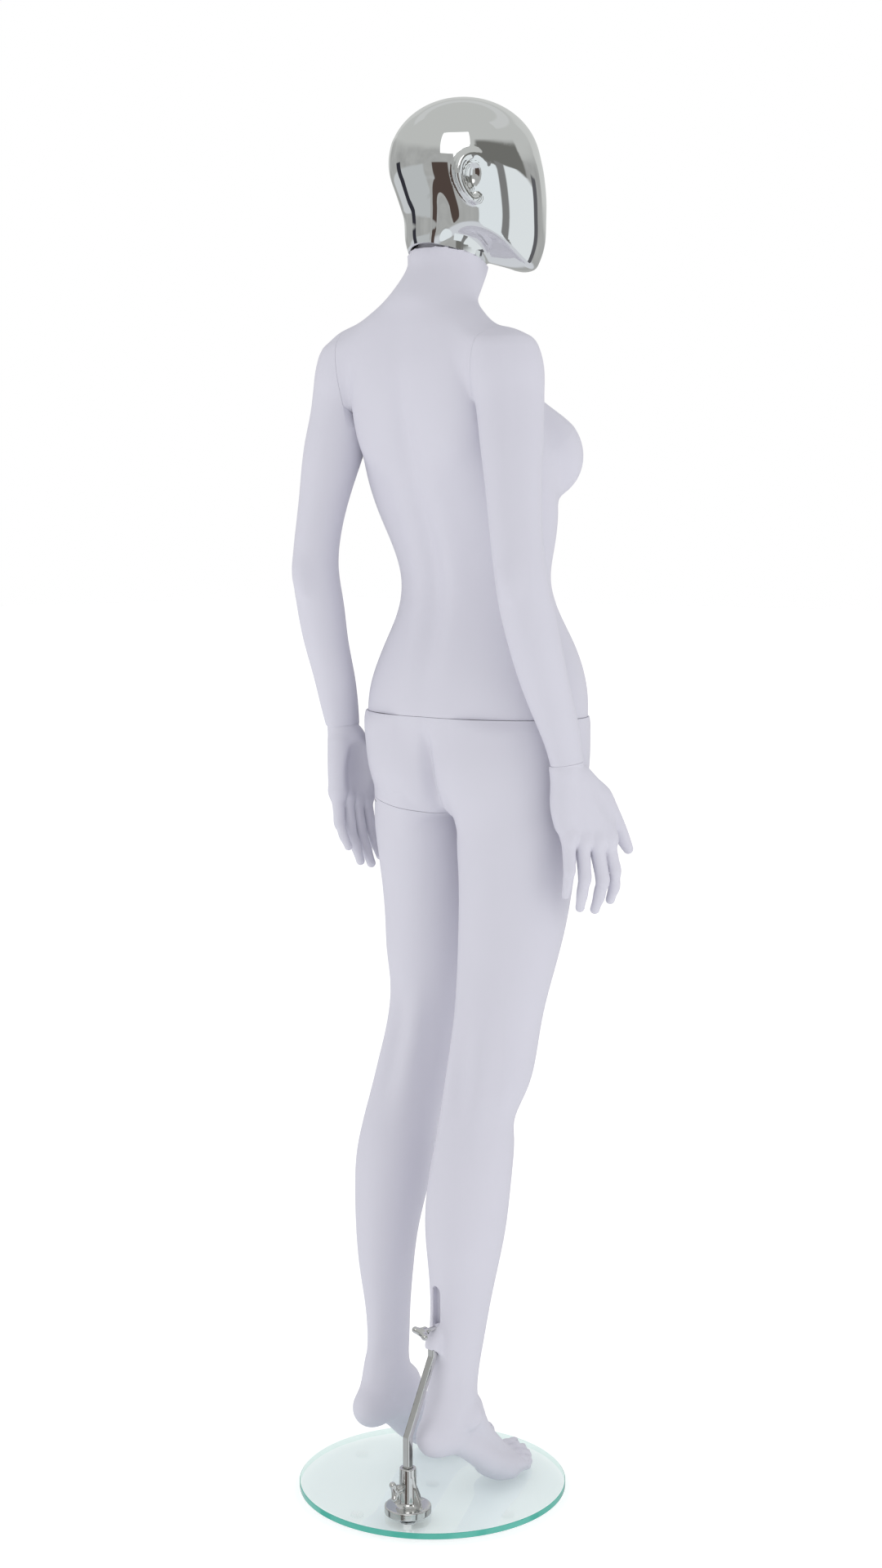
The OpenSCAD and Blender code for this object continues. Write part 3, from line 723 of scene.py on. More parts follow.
def jaw_line(points, s):
    at, (curve,) = cubic_columns(points, 4.0)
    return np.interp(s, at, curve)


def ear_solid(q):
    """C-shaped ear on the side x > 0."""
    rim = rope(q, [(70 + out, -s, z, r) for out, s, z, r in EAR], 3)
    inner = [(70, -20, 1697, 2.4), (73, -9, 1696, 2.8), (73.5, -4.5, 1686, 2.8), (71.5, -11, 1668, 2.4)]
    fold = rope(q, inner)
    return smin(rim, fold, 4)


def head_solid(q):
    x, y, z = q
    dome = ellipsoid(q, (0, -20.5, 1708), (74, 96, 81.5))
    d = smin(smax(SKULL(q), z - 1740, 10), dome, 2)
    s = -y
    edge = jaw_line(JAW_EDGE, s)
    middle = jaw_line(JAW_MIDDLE, s)
    across = np.clip(np.abs(x) / 62, 0, 1.3)
    floor = middle + (edge - middle) * across**1.5
    d = smax(d, 0.8 * (floor - z), 5)
    stub = Tube([
        [1560, 0, 1, 47, 47, 45, 2.0],
        [1600, 0, 1, 48, 48, 46, 2.0],
        [1625, 0, 1, 48, 51, 48, 2.0],
        [1650, 0, 1, 49, 56, 50, 2.0],
    ])(q)
    d = smin(d, stub, 9 + 24 * ramp(y, 5, 35))
    side = (np.abs(x), y, z)
    d = smin(d, ear_solid(side), 6)
    return smax(d, -ellipsoid(side, (76.5, -14, 1684), (7.5, 9, 14)), 4)


def head_field(p):
    x, y, z = p
    c, s = math.cos(HEAD_TURN), math.sin(HEAD_TURN)
    dy = y - NECK[0][1]
    return head_solid((c * x + s * dy, -s * x + c * dy, z))


# ---------- from field to mesh ----------
def spaced(start, *stretches):
    """Grid lines from start on, through stretches (end, step)."""
    lines = [start]
    for end, step in stretches:
        count = max(1, round((end - lines[-1]) / step))
        lines.extend(np.linspace(lines[-1], end, count + 1)[1:])
    return np.array(lines)


def sample(field, lines, block=8, chunk=400_000):
    """The field on a grid, worked out in full only in the blocks that the surface may pass through."""
    firsts = [np.arange(0, len(g) - 1, block) for g in lines]
    lasts = [np.minimum(f + block, len(g) - 1) for f, g in zip(firsts, lines)]
    middle = [(g[f] + g[l]) / 2 for g, f, l in zip(lines, firsts, lasts)]
    half = [(g[l] - g[f]) / 2 for g, f, l in zip(lines, firsts, lasts)]
    reach = np.sqrt(half[0][:, None, None]**2 + half[1][None, :, None]**2 + half[2][None, None, :]**2)
    centre = (middle[0][:, None, None], middle[1][None, :, None], middle[2][None, None, :])
    coarse = field(centre) + 0 * reach
    values = coarse
    for axis, g in enumerate(lines):
        values = np.repeat(values, block, axis)
        values = np.take(values, np.minimum(np.arange(len(g)), values.shape[axis] - 1), axis)
    near = np.argwhere(np.abs(coarse) < 1.6 * reach + 6)
    step = np.arange(block + 1)
    at = []
    for axis, g in enumerate(lines):
        at.append(np.minimum(near[:, axis, None] * block + step, len(g) - 1))
    size = max(1, chunk // (block + 1) ** 3)
    for k in range(0, len(near), size):
        i, j, l = (a[k:k + size] for a in at)
        index = (i[:, :, None, None], j[:, None, :, None], l[:, None, None, :])
        values[index] = field(tuple(g[n] for g, n in zip(lines, index)))
    return values


def surface_nets(field, lines):
    """Vertices and outward quads of the surface field = 0 on a rectangular grid."""
    values = sample(field, lines)
    inside = values < 0
    shape = tuple(n - 1 for n in inside.shape)
    corners = [(i, j, k) for i in (0, 1) for j in (0, 1) for k in (0, 1)]

    def corner(array, c):
        return array[tuple(slice(o, o + n) for o, n in zip(c, shape))]

    count = sum(corner(inside, c).astype(np.int8) for c in corners)
    cells = np.argwhere((count > 0) & (count < 8))
    index = np.full(shape, -1)
    index[tuple(cells.T)] = np.arange(len(cells))
    total = np.zeros((len(cells), 3))
    hits = np.zeros(len(cells))
    for axis in range(3):
        step = np.eye(3, dtype=int)[axis]
        for c in corners:
            if c[axis]:
                continue
            f0 = values[tuple((cells + c).T)]
            f1 = values[tuple((cells + c + step).T)]
            crossed = (f0 < 0) != (f1 < 0)
            share = np.where(crossed, f0 / np.where(crossed, f0 - f1, 1), 0)
            total += (np.array(c) + share[:, None] * step) * crossed[:, None]
            hits += crossed
    local = total / hits[:, None]
    low = np.stack([g[cells[:, i]] for i, g in enumerate(lines)], 1)
    high = np.stack([g[cells[:, i] + 1] for i, g in enumerate(lines)], 1)
    quads = []
    for axis in range(3):
        u, v = (axis + 1) % 3, (axis + 2) % 3
        start = [slice(1, n) for n in shape]
        end = [slice(1, n) for n in shape]
        start[axis] = slice(0, shape[axis])
        end[axis] = slice(1, shape[axis] + 1)
        first, second = inside[tuple(start)], inside[tuple(end)]
        edges = np.argwhere(first != second)
        going_out = first[tuple(edges.T)]
        base = edges + np.array([0 if i == axis else 1 for i in range(3)])
        du, dv = np.eye(3, dtype=int)[u], np.eye(3, dtype=int)[v]
        ring = [index[tuple((base - o).T)] for o in (du + dv, dv, 0 * du, du)]
        quad = np.stack(ring, 1)
        quad[~going_out] = quad[~going_out][:, ::-1]
        quads.append(quad)
    return low + local * (high - low), np.concatenate(quads)


def value_and_slope(field, points, step=0.1):
    """The field and its gradient at points, from one call."""
    shifts = np.vstack([np.zeros(3), np.eye(3) * step])
    x, y, z = np.moveaxis(points[None] + shifts[:, None], 2, 0)
    values = field((x, y, z))
    return values[0], ((values[1:] - values[0]) / step).T


def settle(field, points, rounds=2, limit=2.0):
    """Moves points onto the surface field = 0."""
    for _ in range(rounds):
        value, slope = value_and_slope(field, points)
        move = value / np.maximum((slope**2).sum(1), 0.05)
        points = points - slope * np.clip(move, -limit, limit)[:, None]
    return points


# Material slots of a shell: its skin is 0.
POCKET_SLOT = 1
RIM_SLOT = 2


def biggest_part(points, faces):
    """Drops every loose part but the largest."""
    label = np.arange(len(points))
    while True:
        lowest = label[faces].min(1)
        new = label.copy()
        for k in range(faces.shape[1]):
            np.minimum.at(new, faces[:, k], lowest)
        new = new[new]
        if (new == label).all():
            break
        label = new
    names, counts = np.unique(label, return_counts=True)
    keep = label == names[counts.argmax()]
    number = np.cumsum(keep) - 1
    return points[keep], number[faces[keep[faces[:, 0]]]]


def cut(bm, seam, keep, gap, wanted=None, pocket=POCKET, inside=POCKET_SLOT):
    """Cuts the wanted faces of a shell at a seam and keeps the side keep (+1 is along the axis).

    The opening is closed with a flat face. Where pocket is not 0, it has a rim and a pocket of that depth
    for the fittings, in the material slot inside.
    """
    place, axis = Vector(seam[0]) * MM, Vector(seam[1]).normalized()
    place = place + axis * (0.5 * gap * MM * keep)
    faces = [f for f in bm.faces if wanted is None or wanted(f.calc_center_median() / MM)]
    edges = list({e for f in faces for e in f.edges})
    verts = list({v for f in faces for v in f.verts})
    result = bmesh.ops.bisect_plane(
        bm, geom=verts + edges + faces, plane_co=place, plane_no=axis * keep, dist=1e-7,
        clear_inner=True, clear_outer=False)
    rim = [e for e in result["geom_cut"] if isinstance(e, bmesh.types.BMEdge) and e.is_boundary]
    filled = bmesh.ops.edgeloop_fill(bm, edges=rim)["faces"]
    for face in filled:
        face.normal_update()
        if face.normal.dot(axis * keep) > 0:
            face.normal_flip()
        face.material_index = inside if pocket else RIM_SLOT
    if not pocket:
        return
    inset = bmesh.ops.inset_region(bm, faces=filled, thickness=WALL * MM, use_even_offset=True)
    for face in inset["faces"]:
        face.material_index = RIM_SLOT
    pushed = bmesh.ops.extrude_face_region(bm, geom=filled)["geom"]
    floor = [v for v in pushed if isinstance(v, bmesh.types.BMVert)]
    bmesh.ops.translate(bm, vec=axis * (keep * pocket * MM), verts=floor)
    bmesh.ops.delete(bm, geom=[f for f in filled if f.is_valid], context="FACES_ONLY")
    for v in floor:
        for face in v.link_faces:
            face.material_index = inside


def cut_shoulder(bm, seam, gap):
    """Takes the torso's side off an arm above the armpit, and closes the opening."""
    armpit = Vector((0, 0, ARMPIT_Z * MM))
    up = Vector((0, 0, 1))
    bmesh.ops.bisect_plane(bm, geom=bm.verts[:] + bm.edges[:] + bm.faces[:], plane_co=armpit, plane_no=up,
                           dist=1e-7)
    axis = Vector(seam[1]).normalized()
    place = Vector(seam[0]) * MM + axis * (0.5 * gap * MM)
    above = [f for f in bm.faces if f.calc_center_median().z > armpit.z]
    edges = list({e for f in above for e in f.edges})
    verts = list({v for f in above for v in f.verts})
    bmesh.ops.bisect_plane(bm, geom=verts + edges + above, plane_co=place, plane_no=axis, dist=1e-7)
    centres = [(f, f.calc_center_median()) for f in bm.faces]
    torso_side = [f for f, c in centres if c.z > armpit.z and (c - place).dot(axis) < 0]
    bmesh.ops.delete(bm, geom=torso_side, context="FACES")
    rim = [e for e in bm.edges if e.is_boundary]
    filled = bmesh.ops.edgeloop_fill(bm, edges=rim)["faces"]
    filled = bmesh.ops.triangulate(bm, faces=filled)["faces"]
    for face in filled:
        face.material_index = RIM_SLOT


class Shell:
    """One moulded shell: the surface of a field on grid lines, cut at its seams."""

    def __init__(self, name, field, lines, cuts, materials, body, slot, replaced, shoulder=None):
        self.name, self.field, self.lines, self.cuts, self.shoulder = name, field, lines, cuts, shoulder
        self.materials, self.body, self.slot, self.replaced = materials, body, slot, replaced

    def find_skin(self):
        points, self.quads = biggest_part(*surface_nets(self.field, self.lines))
        self.points = settle(self.field, points)

    def cut_mesh(self):
        self.mesh = bpy.data.meshes.new(self.name)
        self.mesh.from_pydata((self.points * MM).tolist(), [], self.quads.tolist())
        bm = bmesh.new()
        bm.from_mesh(self.mesh)
        if self.shoulder:
            cut_shoulder(bm, self.shoulder, ARM_GAP)
        for seam in self.cuts:
            cut(bm, *seam)
        bm.to_mesh(self.mesh)
        bm.free()
        self.mesh.update()
        points = np.empty(len(self.mesh.vertices) * 3)
        self.mesh.vertices.foreach_get("co", points)
        self.points = points.reshape(-1, 3) / MM

    def find_normals(self):
        _, normals = value_and_slope(self.field, self.points)
        self.normals = normals / np.linalg.norm(normals, axis=1)[:, None]

    def shade(self):
        """Normals of the field on the outer skin, flat ones on the closed seams."""
        mesh = self.mesh
        corner_vertex = np.empty(len(mesh.loops), int)
        mesh.loops.foreach_get("vertex_index", corner_vertex)
        totals = np.empty(len(mesh.polygons), int)
        mesh.polygons.foreach_get("loop_total", totals)
        kind = np.empty(len(mesh.polygons), int)
        mesh.polygons.foreach_get("material_index", kind)
        flat = np.empty(len(mesh.polygons) * 3)
        mesh.polygons.foreach_get("normal", flat)
        owner = np.repeat(np.arange(len(mesh.polygons)), totals)
        seam_face = (kind[owner] > 0)[:, None]
        corner_normals = np.where(seam_face, flat.reshape(-1, 3)[owner], self.normals[corner_vertex])
        mesh.polygons.foreach_set("use_smooth", np.ones(len(mesh.polygons), bool))
        mesh.normals_split_custom_set(corner_normals.tolist())

    def place(self):
        for material in self.materials:
            self.mesh.materials.append(material)
        add_piece(self.name, self.mesh, self.body, self.slot, *self.replaced)


def build_shells(shells):
    with ThreadPoolExecutor(4) as pool:
        list(pool.map(Shell.find_skin, shells))
        for one in shells:
            one.cut_mesh()
        list(pool.map(Shell.find_normals, shells))
    for one in shells:
        one.shade()
        one.place()


# ---------- materials ----------
def new_material(name):
    material = bpy.data.materials.new(name)
    material.use_nodes = True
    tree = material.node_tree
    return material, tree, tree.nodes["Principled BSDF"]


def noise(tree, scale, detail=3.0, rough=0.5):
    coordinates = tree.nodes.new("ShaderNodeTexCoord")
    texture = tree.nodes.new("ShaderNodeTexNoise")
    texture.inputs["Scale"].default_value = scale
    texture.inputs["Detail"].default_value = detail
    texture.inputs["Roughness"].default_value = rough
    tree.links.new(coordinates.outputs["Object"], texture.inputs["Vector"])
    return texture.outputs["Fac"]


def spread(tree, value, low, high):
    """Maps a 0..1 value onto a range."""
    node = tree.nodes.new("ShaderNodeMapRange")
    node.inputs["To Min"].default_value = low
    node.inputs["To Max"].default_value = high
    tree.links.new(value, node.inputs["Value"])
    return node.outputs["Result"]


def tint(tree, value, dark, light):
    node = tree.nodes.new("ShaderNodeMix")
    node.data_type = "RGBA"
    node.inputs[6].default_value = (*dark, 1)
    node.inputs[7].default_value = (*light, 1)
    tree.links.new(value, node.inputs[0])
    return node.outputs[2]


def bumps(tree, value, strength, distance):
    node = tree.nodes.new("ShaderNodeBump")
    node.inputs["Strength"].default_value = strength
    node.inputs["Distance"].default_value = distance
    tree.links.new(value, node.inputs["Height"])
    return node.outputs["Normal"]


def combine(tree, operation, *values):
    """A sum or another operation on numbers and node outputs."""
    node = tree.nodes.new("ShaderNodeMath")
    node.operation = operation
    for slot_number, value in enumerate(values):
        if isinstance(value, (int, float)):
            node.inputs[slot_number].default_value = value
        else:
            tree.links.new(value, node.inputs[slot_number])
    return node.outputs[0]


def mix_shaders(tree, share, first, second):
    """Goes from the first shader to the second as share goes from 0 to 1."""
    mix = tree.nodes.new("ShaderNodeMixShader")
    for slot_number, value in enumerate((share, first, second)):
        tree.links.new(value, mix.inputs[slot_number])
    return mix.outputs[0]


def surface_material(name, dark, light, rough, metallic=0.0, patch=6.0, grain=900.0, bump=0.1, depth=0.0001,
                     coat=0.0):
    """A surface whose colour and roughness drift over patches, with a fine grain."""
    material, tree, bsdf = new_material(name)
    patches = noise(tree, patch, 4)
    grains = noise(tree, grain, 2)
    tree.links.new(tint(tree, patches, dark, light), bsdf.inputs["Base Color"])
    tree.links.new(spread(tree, patches, *rough), bsdf.inputs["Roughness"])
    tree.links.new(bumps(tree, grains, bump, depth), bsdf.inputs["Normal"])
    bsdf.inputs["Metallic"].default_value = metallic
    bsdf.inputs["Coat Weight"].default_value = coat
    return material


def glass_material(name, tone, mirror):
    """Sheet glass that lets light and shadow through with a tone, and mirrors a little."""
    material, tree, bsdf = new_material(name)
    smudge = noise(tree, 14, 5, 0.65)
    colour = tint(tree, smudge, tone, [min(1, c * 1.02) for c in tone])
    tree.links.new(colour, bsdf.inputs["Base Color"])
    tree.links.new(spread(tree, smudge, 0.0, 0.08), bsdf.inputs["Roughness"])
    tree.links.new(bumps(tree, smudge, 0.03, 0.0003), bsdf.inputs["Normal"])
    bsdf.inputs["Metallic"].default_value = 1.0
    clear = tree.nodes.new("ShaderNodeBsdfTransparent")
    tree.links.new(colour, clear.inputs["Color"])
    fresnel = tree.nodes.new("ShaderNodeFresnel")
    fresnel.inputs["IOR"].default_value = mirror
    facing = tree.nodes.new("ShaderNodeNewGeometry")
    front_only = combine(tree, "SUBTRACT", fresnel.outputs[0], facing.outputs["Backfacing"])
    front_only.node.use_clamp = True
    mixed = mix_shaders(tree, front_only, clear.outputs[0], bsdf.outputs[0])
    tree.links.new(mixed, tree.nodes["Material Output"].inputs["Surface"])
    return material


def clear_inside(material):
    """Lets a ray that reaches the surface from behind go straight on, so only the near rim shows green."""
    tree = material.node_tree
    facing = tree.nodes.new("ShaderNodeNewGeometry")
    paint = tree.nodes["Principled BSDF"]
    clear = tree.nodes.new("ShaderNodeBsdfTransparent")
    clear.inputs["Color"].default_value = (0.80, 0.90, 0.88, 1)
    mixed = mix_shaders(tree, facing.outputs["Backfacing"], paint.outputs[0], clear.outputs[0])
    tree.links.new(mixed, tree.nodes["Material Output"].inputs["Surface"])


WHITE = surface_material("white_paint", (0.585, 0.58, 0.655), (0.615, 0.61, 0.685), (0.48, 0.60),
                         patch=5, grain=700, bump=0.06)
BARE = surface_material("bare_moulding", (0.20, 0.19, 0.18), (0.32, 0.31, 0.29), (0.7, 0.95),
                        patch=60, grain=400, bump=0.5, depth=0.0005)
LAMINATE = surface_material("grey_laminate", (0.10, 0.10, 0.105), (0.15, 0.15, 0.16), (0.5, 0.75),
                            patch=40, bump=0.3)
MIRROR = surface_material("mirror_chrome", (0.83, 0.84, 0.84), (0.88, 0.89, 0.88), (0.005, 0.02), 1.0,
                          patch=4, grain=30, bump=0.01, depth=0.0002)
CHROME = surface_material("polished_chrome", (0.66, 0.66, 0.65), (0.80, 0.80, 0.79), (0.05, 0.16), 1.0,
                          patch=30, grain=220, bump=0.05, depth=0.0002)
STEEL = surface_material("turned_steel", (0.45, 0.45, 0.46), (0.62, 0.62, 0.63), (0.2, 0.35), 1.0,
                         patch=80, grain=600, bump=0.2)
CLEAR = glass_material("clear_plastic", (0.98, 0.985, 0.985), 1.1)
GLASS = glass_material("sheet_glass", (0.93, 0.96, 0.96), 2.2)
GLASS_EDGE = surface_material("green_glass_edge", (0.05, 0.36, 0.29), (0.12, 0.52, 0.43), (0.08, 0.2),
                              patch=12, grain=160, bump=0.08, coat=0.5)
clear_inside(GLASS_EDGE)
SLOT_MATERIAL = {
    "glass": GLASS,
    "clear_pad": CLEAR,
    "gasket": CLEAR,
    "washer": CLEAR,
    "chrome": CHROME,
    "mirror_chrome": MIRROR,
    "white_shell": WHITE,
    "white_metal": WHITE,
    "bulkhead": LAMINATE,
    "steel": STEEL,
}


# ---------- the figure ----------
WHITE_SHELL = (WHITE, BARE, WHITE)
LEG_Y = ((-140, 5), (-45, 2), (45, 3.5), (85, 1.5), (115, 3))


def white_shell(name, field, lines, cuts, body, replaced, shoulder=None):
    """A moulded shell, painted outside and bare inside."""
    return Shell(name, field, lines, cuts, WHITE_SHELL, body, "white_shell", replaced, shoulder)


def torso_shell():
    lines = (spaced(-178, (178, 4)), spaced(-216, (112, 4)), spaced(1008, (1632, 4)))
    above = lambda c: c.z > ARMPIT_Z
    cuts = [
        (WAIST, 1, BODY_GAP),
        (NECK, -1, NECK_GAP, lambda c: c.z > 1560),
        (SHOULDER, -1, ARM_GAP, lambda c: above(c) and c.x > 60, 0),
        (other_side(SHOULDER), -1, ARM_GAP, lambda c: above(c) and c.x < -60, 0),
    ]
    return white_shell("torso_skin", torso_field, lines, cuts, "torso", ["torso_shell"])


def hips_shell():
    lines = (
        spaced(-176, (-108, 5), (-80, 2), (-48, 1.5), (-16, 2), (176, 5)),
        spaced(-210, *LEG_Y),
        spaced(8, (60, 2), (205, 4), (305, 1.5), (1032, 5)),
    )
    beside_hip = lambda c: c.x > -3 and c.z < 1000
    cuts = [(WAIST, -1, BODY_GAP), (HIP, -1, BODY_GAP, beside_hip, POCKET, RIM_SLOT)]
    replaced = ["hips_and_right_leg", "calf_socket"]
    return white_shell("hips_and_right_leg_skin", hips_field, lines, cuts, "hips", replaced)


def left_leg_shell():
    lines = (
        spaced(-20, (16, 5), (108, 2), (172, 5)),
        spaced(-210, (-150, 5), (-58, 2), (100, 4)),
        spaced(8, (60, 2), (160, 4), (930, 5)),
    )
    cuts = [(HIP, 1, BODY_GAP, None, 0)]
    return white_shell("left_leg_skin", left_leg_field, lines, cuts, "left_leg", ["left_leg_shell"])


def arm_shell(name, side, field, wrist):
    near, far = sorted((80 * side, 222 * side))
    lines = (spaced(near, (far, 3)), spaced(-84, (84, 3)), spaced(950, (1518, 3.5)))
    shoulder = SHOULDER if side > 0 else other_side(SHOULDER)
    cuts = [(wrist, -1, ARM_GAP)]
    body = name + "_arm"
    return white_shell(body + "_skin", field, lines, cuts, body, [body + "_shell"], shoulder)


def hand_shell(name, field, wrist):
    x, y, z = wrist[0]
    lines = (spaced(x - 60, (x + 60, 1.8)), spaced(y - 125, (y + 45, 1.8)), spaced(z - 208, (z + 8, 1.8)))
    cuts = [(wrist, 1, ARM_GAP)]
    body = name + "_hand"
    return white_shell(body + "_skin", field, lines, cuts, body, [body])


def fitting_shell(name, field, low, high, step, body, replaced):
    """A chromed casting of the stand: the surface of a field inside a box."""
    lines = [spaced(a, (b, step)) for a, b in zip(low, high)]
    return Shell(name, field, lines, [], (CHROME,), body, "chrome", [replaced])


def head_shell():
    lines = (spaced(-110, (110, 2.5)), spaced(-150, (110, 2.5)), spaced(1560, (1800, 2.5)))
    cuts = [(HEAD_EDGE, 1, HEAD_GAP, None, NECK_IN_HEAD + POCKET)]
    materials = (MIRROR, BARE, MIRROR)
    return Shell("head_skin", head_field, lines, cuts, materials, "head", "mirror_chrome", ["head_shell"])


def paint_fittings():
    """The CAD parts that are kept take the material of their slot."""
    slots = {part["node"]: part["material_slot"] for part in frame["record"]["subparts"]}
    for name, node in frame["nodes"].items():
        node.data.materials.clear()
        node.data.materials.append(SLOT_MATERIAL[slots[name]])


def build_glass():
    """The disc with ground edges: clear faces and a green rim."""
    low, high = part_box("glass_base")
    centre = (low + high) / 2
    radius, chamfer, count = (high.x - low.x) / 2, 0.8 * MM, 256
    profile = [(radius - chamfer, low.z), (radius, low.z + chamfer), (radius, high.z - chamfer),
               (radius - chamfer, high.z)]
    points = []
    for r, z in profile:
        for k in range(count):
            angle = math.tau * k / count
            points.append((centre.x + r * math.cos(angle), centre.y + r * math.sin(angle), z))
    faces = [list(reversed(range(count))), list(range(3 * count, 4 * count))]
    for ring in range(3):
        for k in range(count):
            a, b = ring * count + k, ring * count + (k + 1) % count
            faces.append([a, b, b + count, a + count])
    mesh = bpy.data.meshes.new("glass_disc")
    mesh.from_pydata(points, [], faces)
    mesh.materials.append(GLASS)
    mesh.materials.append(GLASS_EDGE)
    for polygon in mesh.polygons[2:]:
        polygon.material_index = 1
    add_piece("glass_disc", mesh, "base", "glass", "glass_base")


def add_piece(name, mesh, body, slot, *replaced):
    """Puts a mesh in the scene as a piece that rides on a body in place of CAD nodes."""
    mesh.update()
    obj = bpy.data.objects.new(name, mesh)
    bpy.context.scene.collection.objects.link(obj)
    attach(obj, body)
    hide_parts(*replaced)
    return obj


# ---------- studio ----------
def add_area(name, place, target, size, power, colour=(1, 1, 1)):
    light = bpy.data.lights.new(name, "AREA")
    light.shape = "RECTANGLE"
    light.size, light.size_y = size
    light.energy = power
    light.color = colour
    obj = bpy.data.objects.new(name, light)
    obj.location = place
    obj.rotation_euler = (Vector(target) - Vector(place)).to_track_quat("-Z", "Y").to_euler()
    obj.visible_glossy = False
    bpy.context.scene.collection.objects.link(obj)


# What the chrome mirrors: patches of a bright shop.
# Each one is (azimuth from, to, elevation from, to, softness, colour).
# Azimuth 0 looks along -Y, 90 along +X and -90 along -X, in degrees.
ROOM = [
    (-180, 180, -90, -32, 12, (0.66, 0.68, 0.72)),
    (-180, 180, 30, 90, 16, (0.55, 0.56, 0.55)),
    (-70, 110, 50, 58, 3, (0.62, 0.63, 0.63)),
    (-10, 70, 8, 40, 6, (0.62, 0.63, 0.62)),
    (60, 112, -34, -6, 3, (0.62, 0.64, 0.66)),
    (124, 172, -34, -6, 4, (0.52, 0.54, 0.55)),
    (111, 123, -34, 4, 1.5, (0.035, 0.035, 0.045)),
    (-112, -58, 4, 30, 5, (0.17, 0.17, 0.16)),
    (-172, -151, -36, -4, 1.5, (0.085, 0.062, 0.054)),
    (-158, -122, 14, 45, 2, (1.6, 1.6, 1.6)),
    (-121, -99, -40, 1, 2, (0.80, 0.85, 0.88)),
    (-99, -90, -40, 6, 1.5, (0.22, 0.22, 0.22)),
    (-90, -44, -40, 5, 2, (0.80, 0.84, 0.86)),
    (-44, -34, -40, 9, 2, (0.12, 0.12, 0.13)),
]
# The walls between the patches, and the brightness of the light from all round.
WALL_TONE = (0.40, 0.405, 0.40)
WORLD_STRENGTH = 0.87


def angle_mask(tree, angle, low, high, soft):
    """1 between two angles, falling to 0 over soft degrees outside them."""
    masks = []
    for start, end in ((low - soft, low), (high + soft, high)):
        edge = tree.nodes.new("ShaderNodeMapRange")
        edge.interpolation_type = "SMOOTHSTEP"
        edge.inputs["From Min"].default_value = math.radians(start)
        edge.inputs["From Max"].default_value = math.radians(end)
        tree.links.new(angle, edge.inputs["Value"])
        masks.append(edge.outputs["Result"])
    return combine(tree, "MULTIPLY", *masks)


def room_colour(tree):
    """The room as a colour that depends on the direction of a mirrored ray."""
    direction = tree.nodes.new("ShaderNodeTexCoord").outputs["Generated"]
    parts = tree.nodes.new("ShaderNodeSeparateXYZ")
    tree.links.new(direction, parts.inputs[0])
    forward = combine(tree, "MULTIPLY", parts.outputs["Y"], -1)
    azimuth = combine(tree, "ARCTAN2", parts.outputs["X"], forward)
    elevation = combine(tree, "ARCSINE", parts.outputs["Z"])
    mottle = tree.nodes.new("ShaderNodeTexNoise")
    mottle.inputs["Scale"].default_value = 3.5
    mottle.inputs["Detail"].default_value = 4
    tree.links.new(direction, mottle.inputs["Vector"])
    colour = tint(tree, mottle.outputs["Fac"], [c * 0.75 for c in WALL_TONE], [c * 1.3 for c in WALL_TONE])
    for az_low, az_high, el_low, el_high, soft, tone in ROOM:
        mask = combine(tree, "MULTIPLY", angle_mask(tree, azimuth, az_low, az_high, soft),
                       angle_mask(tree, elevation, el_low, el_high, soft))
        mix = tree.nodes.new("ShaderNodeMix")
        mix.data_type = "RGBA"
        mix.inputs[7].default_value = (*tone, 1)
        tree.links.new(mask, mix.inputs[0])
        tree.links.new(colour, mix.inputs[6])
        colour = mix.outputs[2]
    return colour


def build_world():
    """White all round for the camera and for diffuse light, the room for mirrored rays."""
    world = bpy.data.worlds.new("studio")
    world.use_nodes = True
    tree = world.node_tree
    plain = tree.nodes["Background"]
    plain.inputs[0].default_value = (1, 1, 1, 1)
    plain.inputs[1].default_value = WORLD_STRENGTH
    room = tree.nodes.new("ShaderNodeBackground")
    tree.links.new(room_colour(tree), room.inputs[0])
    white = tree.nodes.new("ShaderNodeBackground")
    white.inputs[0].default_value = (1, 1, 1, 1)
    path = tree.nodes.new("ShaderNodeLightPath")
    link = plain.outputs[0]
    for ray, shader in (("Is Camera Ray", white), ("Is Glossy Ray", room)):
        link = mix_shaders(tree, path.outputs[ray], link, shader.outputs[0])
    tree.links.new(link, tree.nodes["World Output"].inputs["Surface"])
    bpy.context.scene.world = world


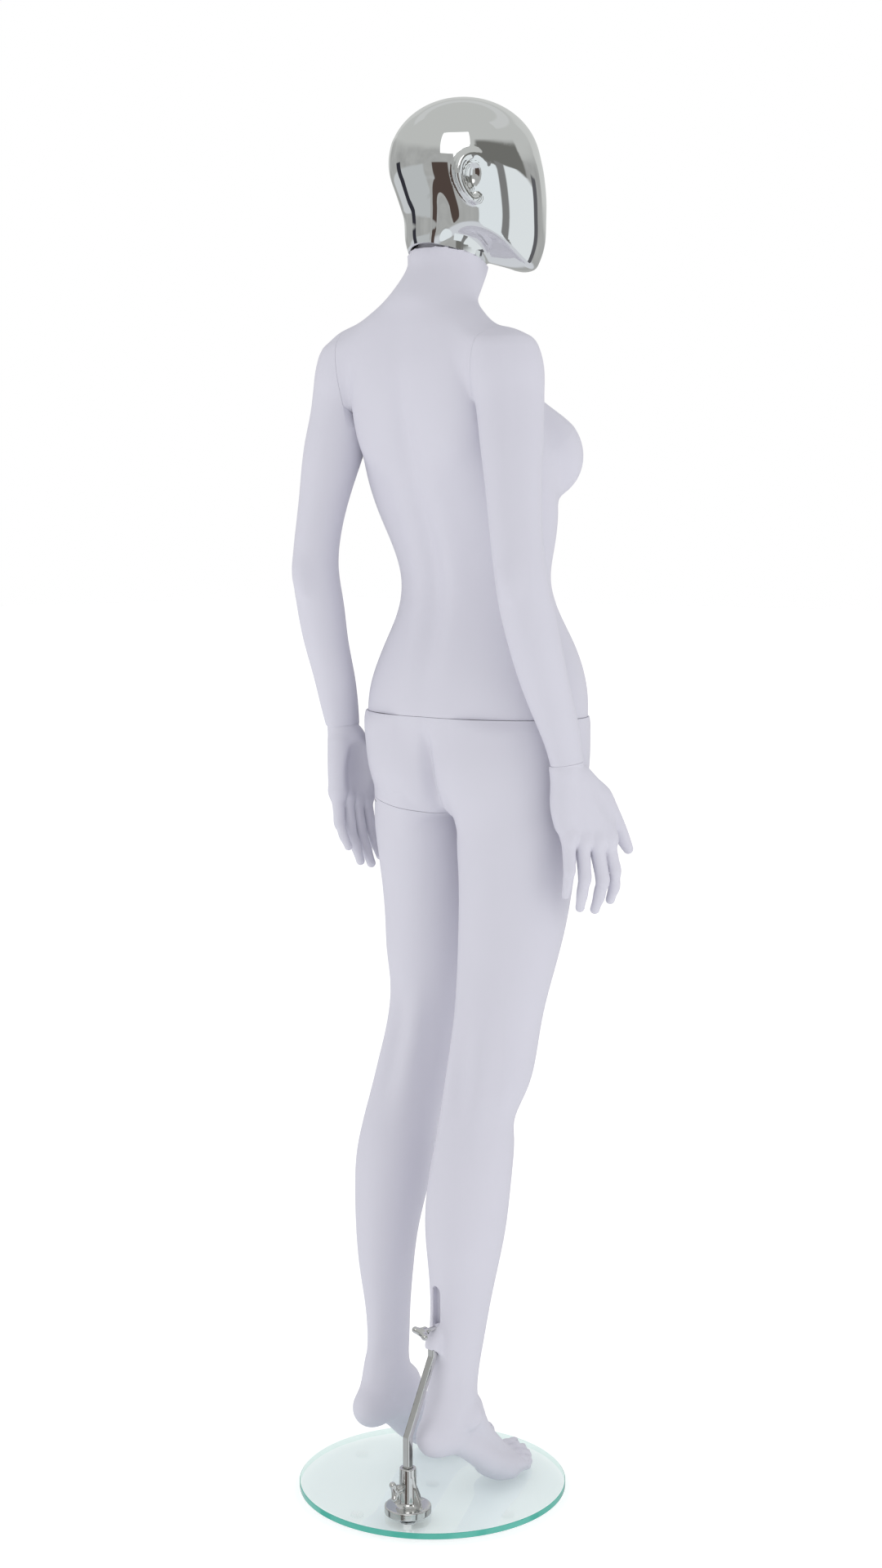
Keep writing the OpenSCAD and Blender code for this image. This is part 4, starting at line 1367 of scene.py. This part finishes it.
def build_studio():
    bpy.ops.mesh.primitive_plane_add(size=60, location=(0, 0, -0.0005))
    floor = bpy.context.object
    floor.name = "studio_floor"
    floor.visible_glossy = False
    white = surface_material("floor", (0.93, 0.93, 0.93), (0.95, 0.95, 0.95), (0.8, 0.9),
                             patch=2, bump=0.02)
    paint = white.node_tree.nodes["Principled BSDF"]
    paint.inputs["Emission Color"].default_value = (1, 1, 1, 1)
    paint.inputs["Emission Strength"].default_value = 0.3
    floor.data.materials.append(white)
    build_world()
    add_area("right_window", (-3.2, -1.0, 1.8), (0, 0, 1.0), (2.0, 2.6), 14)
    add_area("left_window", (2.6, 2.2, 1.3), (0, 0, 0.9), (2.2, 2.6), 16)


def add_camera():
    camera = bpy.data.cameras.new("photo_camera")
    camera.sensor_width = 36
    camera.sensor_fit = "VERTICAL"
    camera.sensor_height = 36
    camera.lens = 52.48
    camera.clip_end = 100
    obj = bpy.data.objects.new("photo_camera", camera)
    obj.location = (-1.949, 2.148, 1.249)
    obj.rotation_euler = Vector((0.6651, -0.7387, -0.1089)).to_track_quat("-Z", "Y").to_euler()
    bpy.context.scene.collection.objects.link(obj)
    bpy.context.scene.camera = obj


paint_fittings()
build_glass()
build_shells([
    hips_shell(),
    torso_shell(),
    left_leg_shell(),
    hand_shell("right", right_hand_field, RIGHT_WRIST),
    hand_shell("left", left_hand_field, LEFT_WRIST),
    head_shell(),
    fitting_shell("flange_casting", flange_field, (-85, 73, 10), (-21, 137, 75), 1.1,
                  "base", "base_flange"),
    fitting_shell("flange_thumbscrew", flange_screw_field, (-70, 104, 31), (-36, 142, 65), 0.8,
                  "flange_screw", "flange_wing_screw"),
    fitting_shell("calf_thumbscrew", calf_screw_field, (-81, 62, 230), (-47, 106, 264), 0.8,
                  "calf_screw", "calf_wing_screw"),
    fitting_shell("bent_rod", rod_field, (-74, 60, 22), (-44, 114, 240), 1.5,
                  "rod", "support_rod"),
    arm_shell("left", 1, left_arm_field, LEFT_WRIST),
    arm_shell("right", -1, right_arm_field, RIGHT_WRIST),
])
build_studio()
add_camera()
bpy.context.scene.view_settings.view_transform = "Standard"
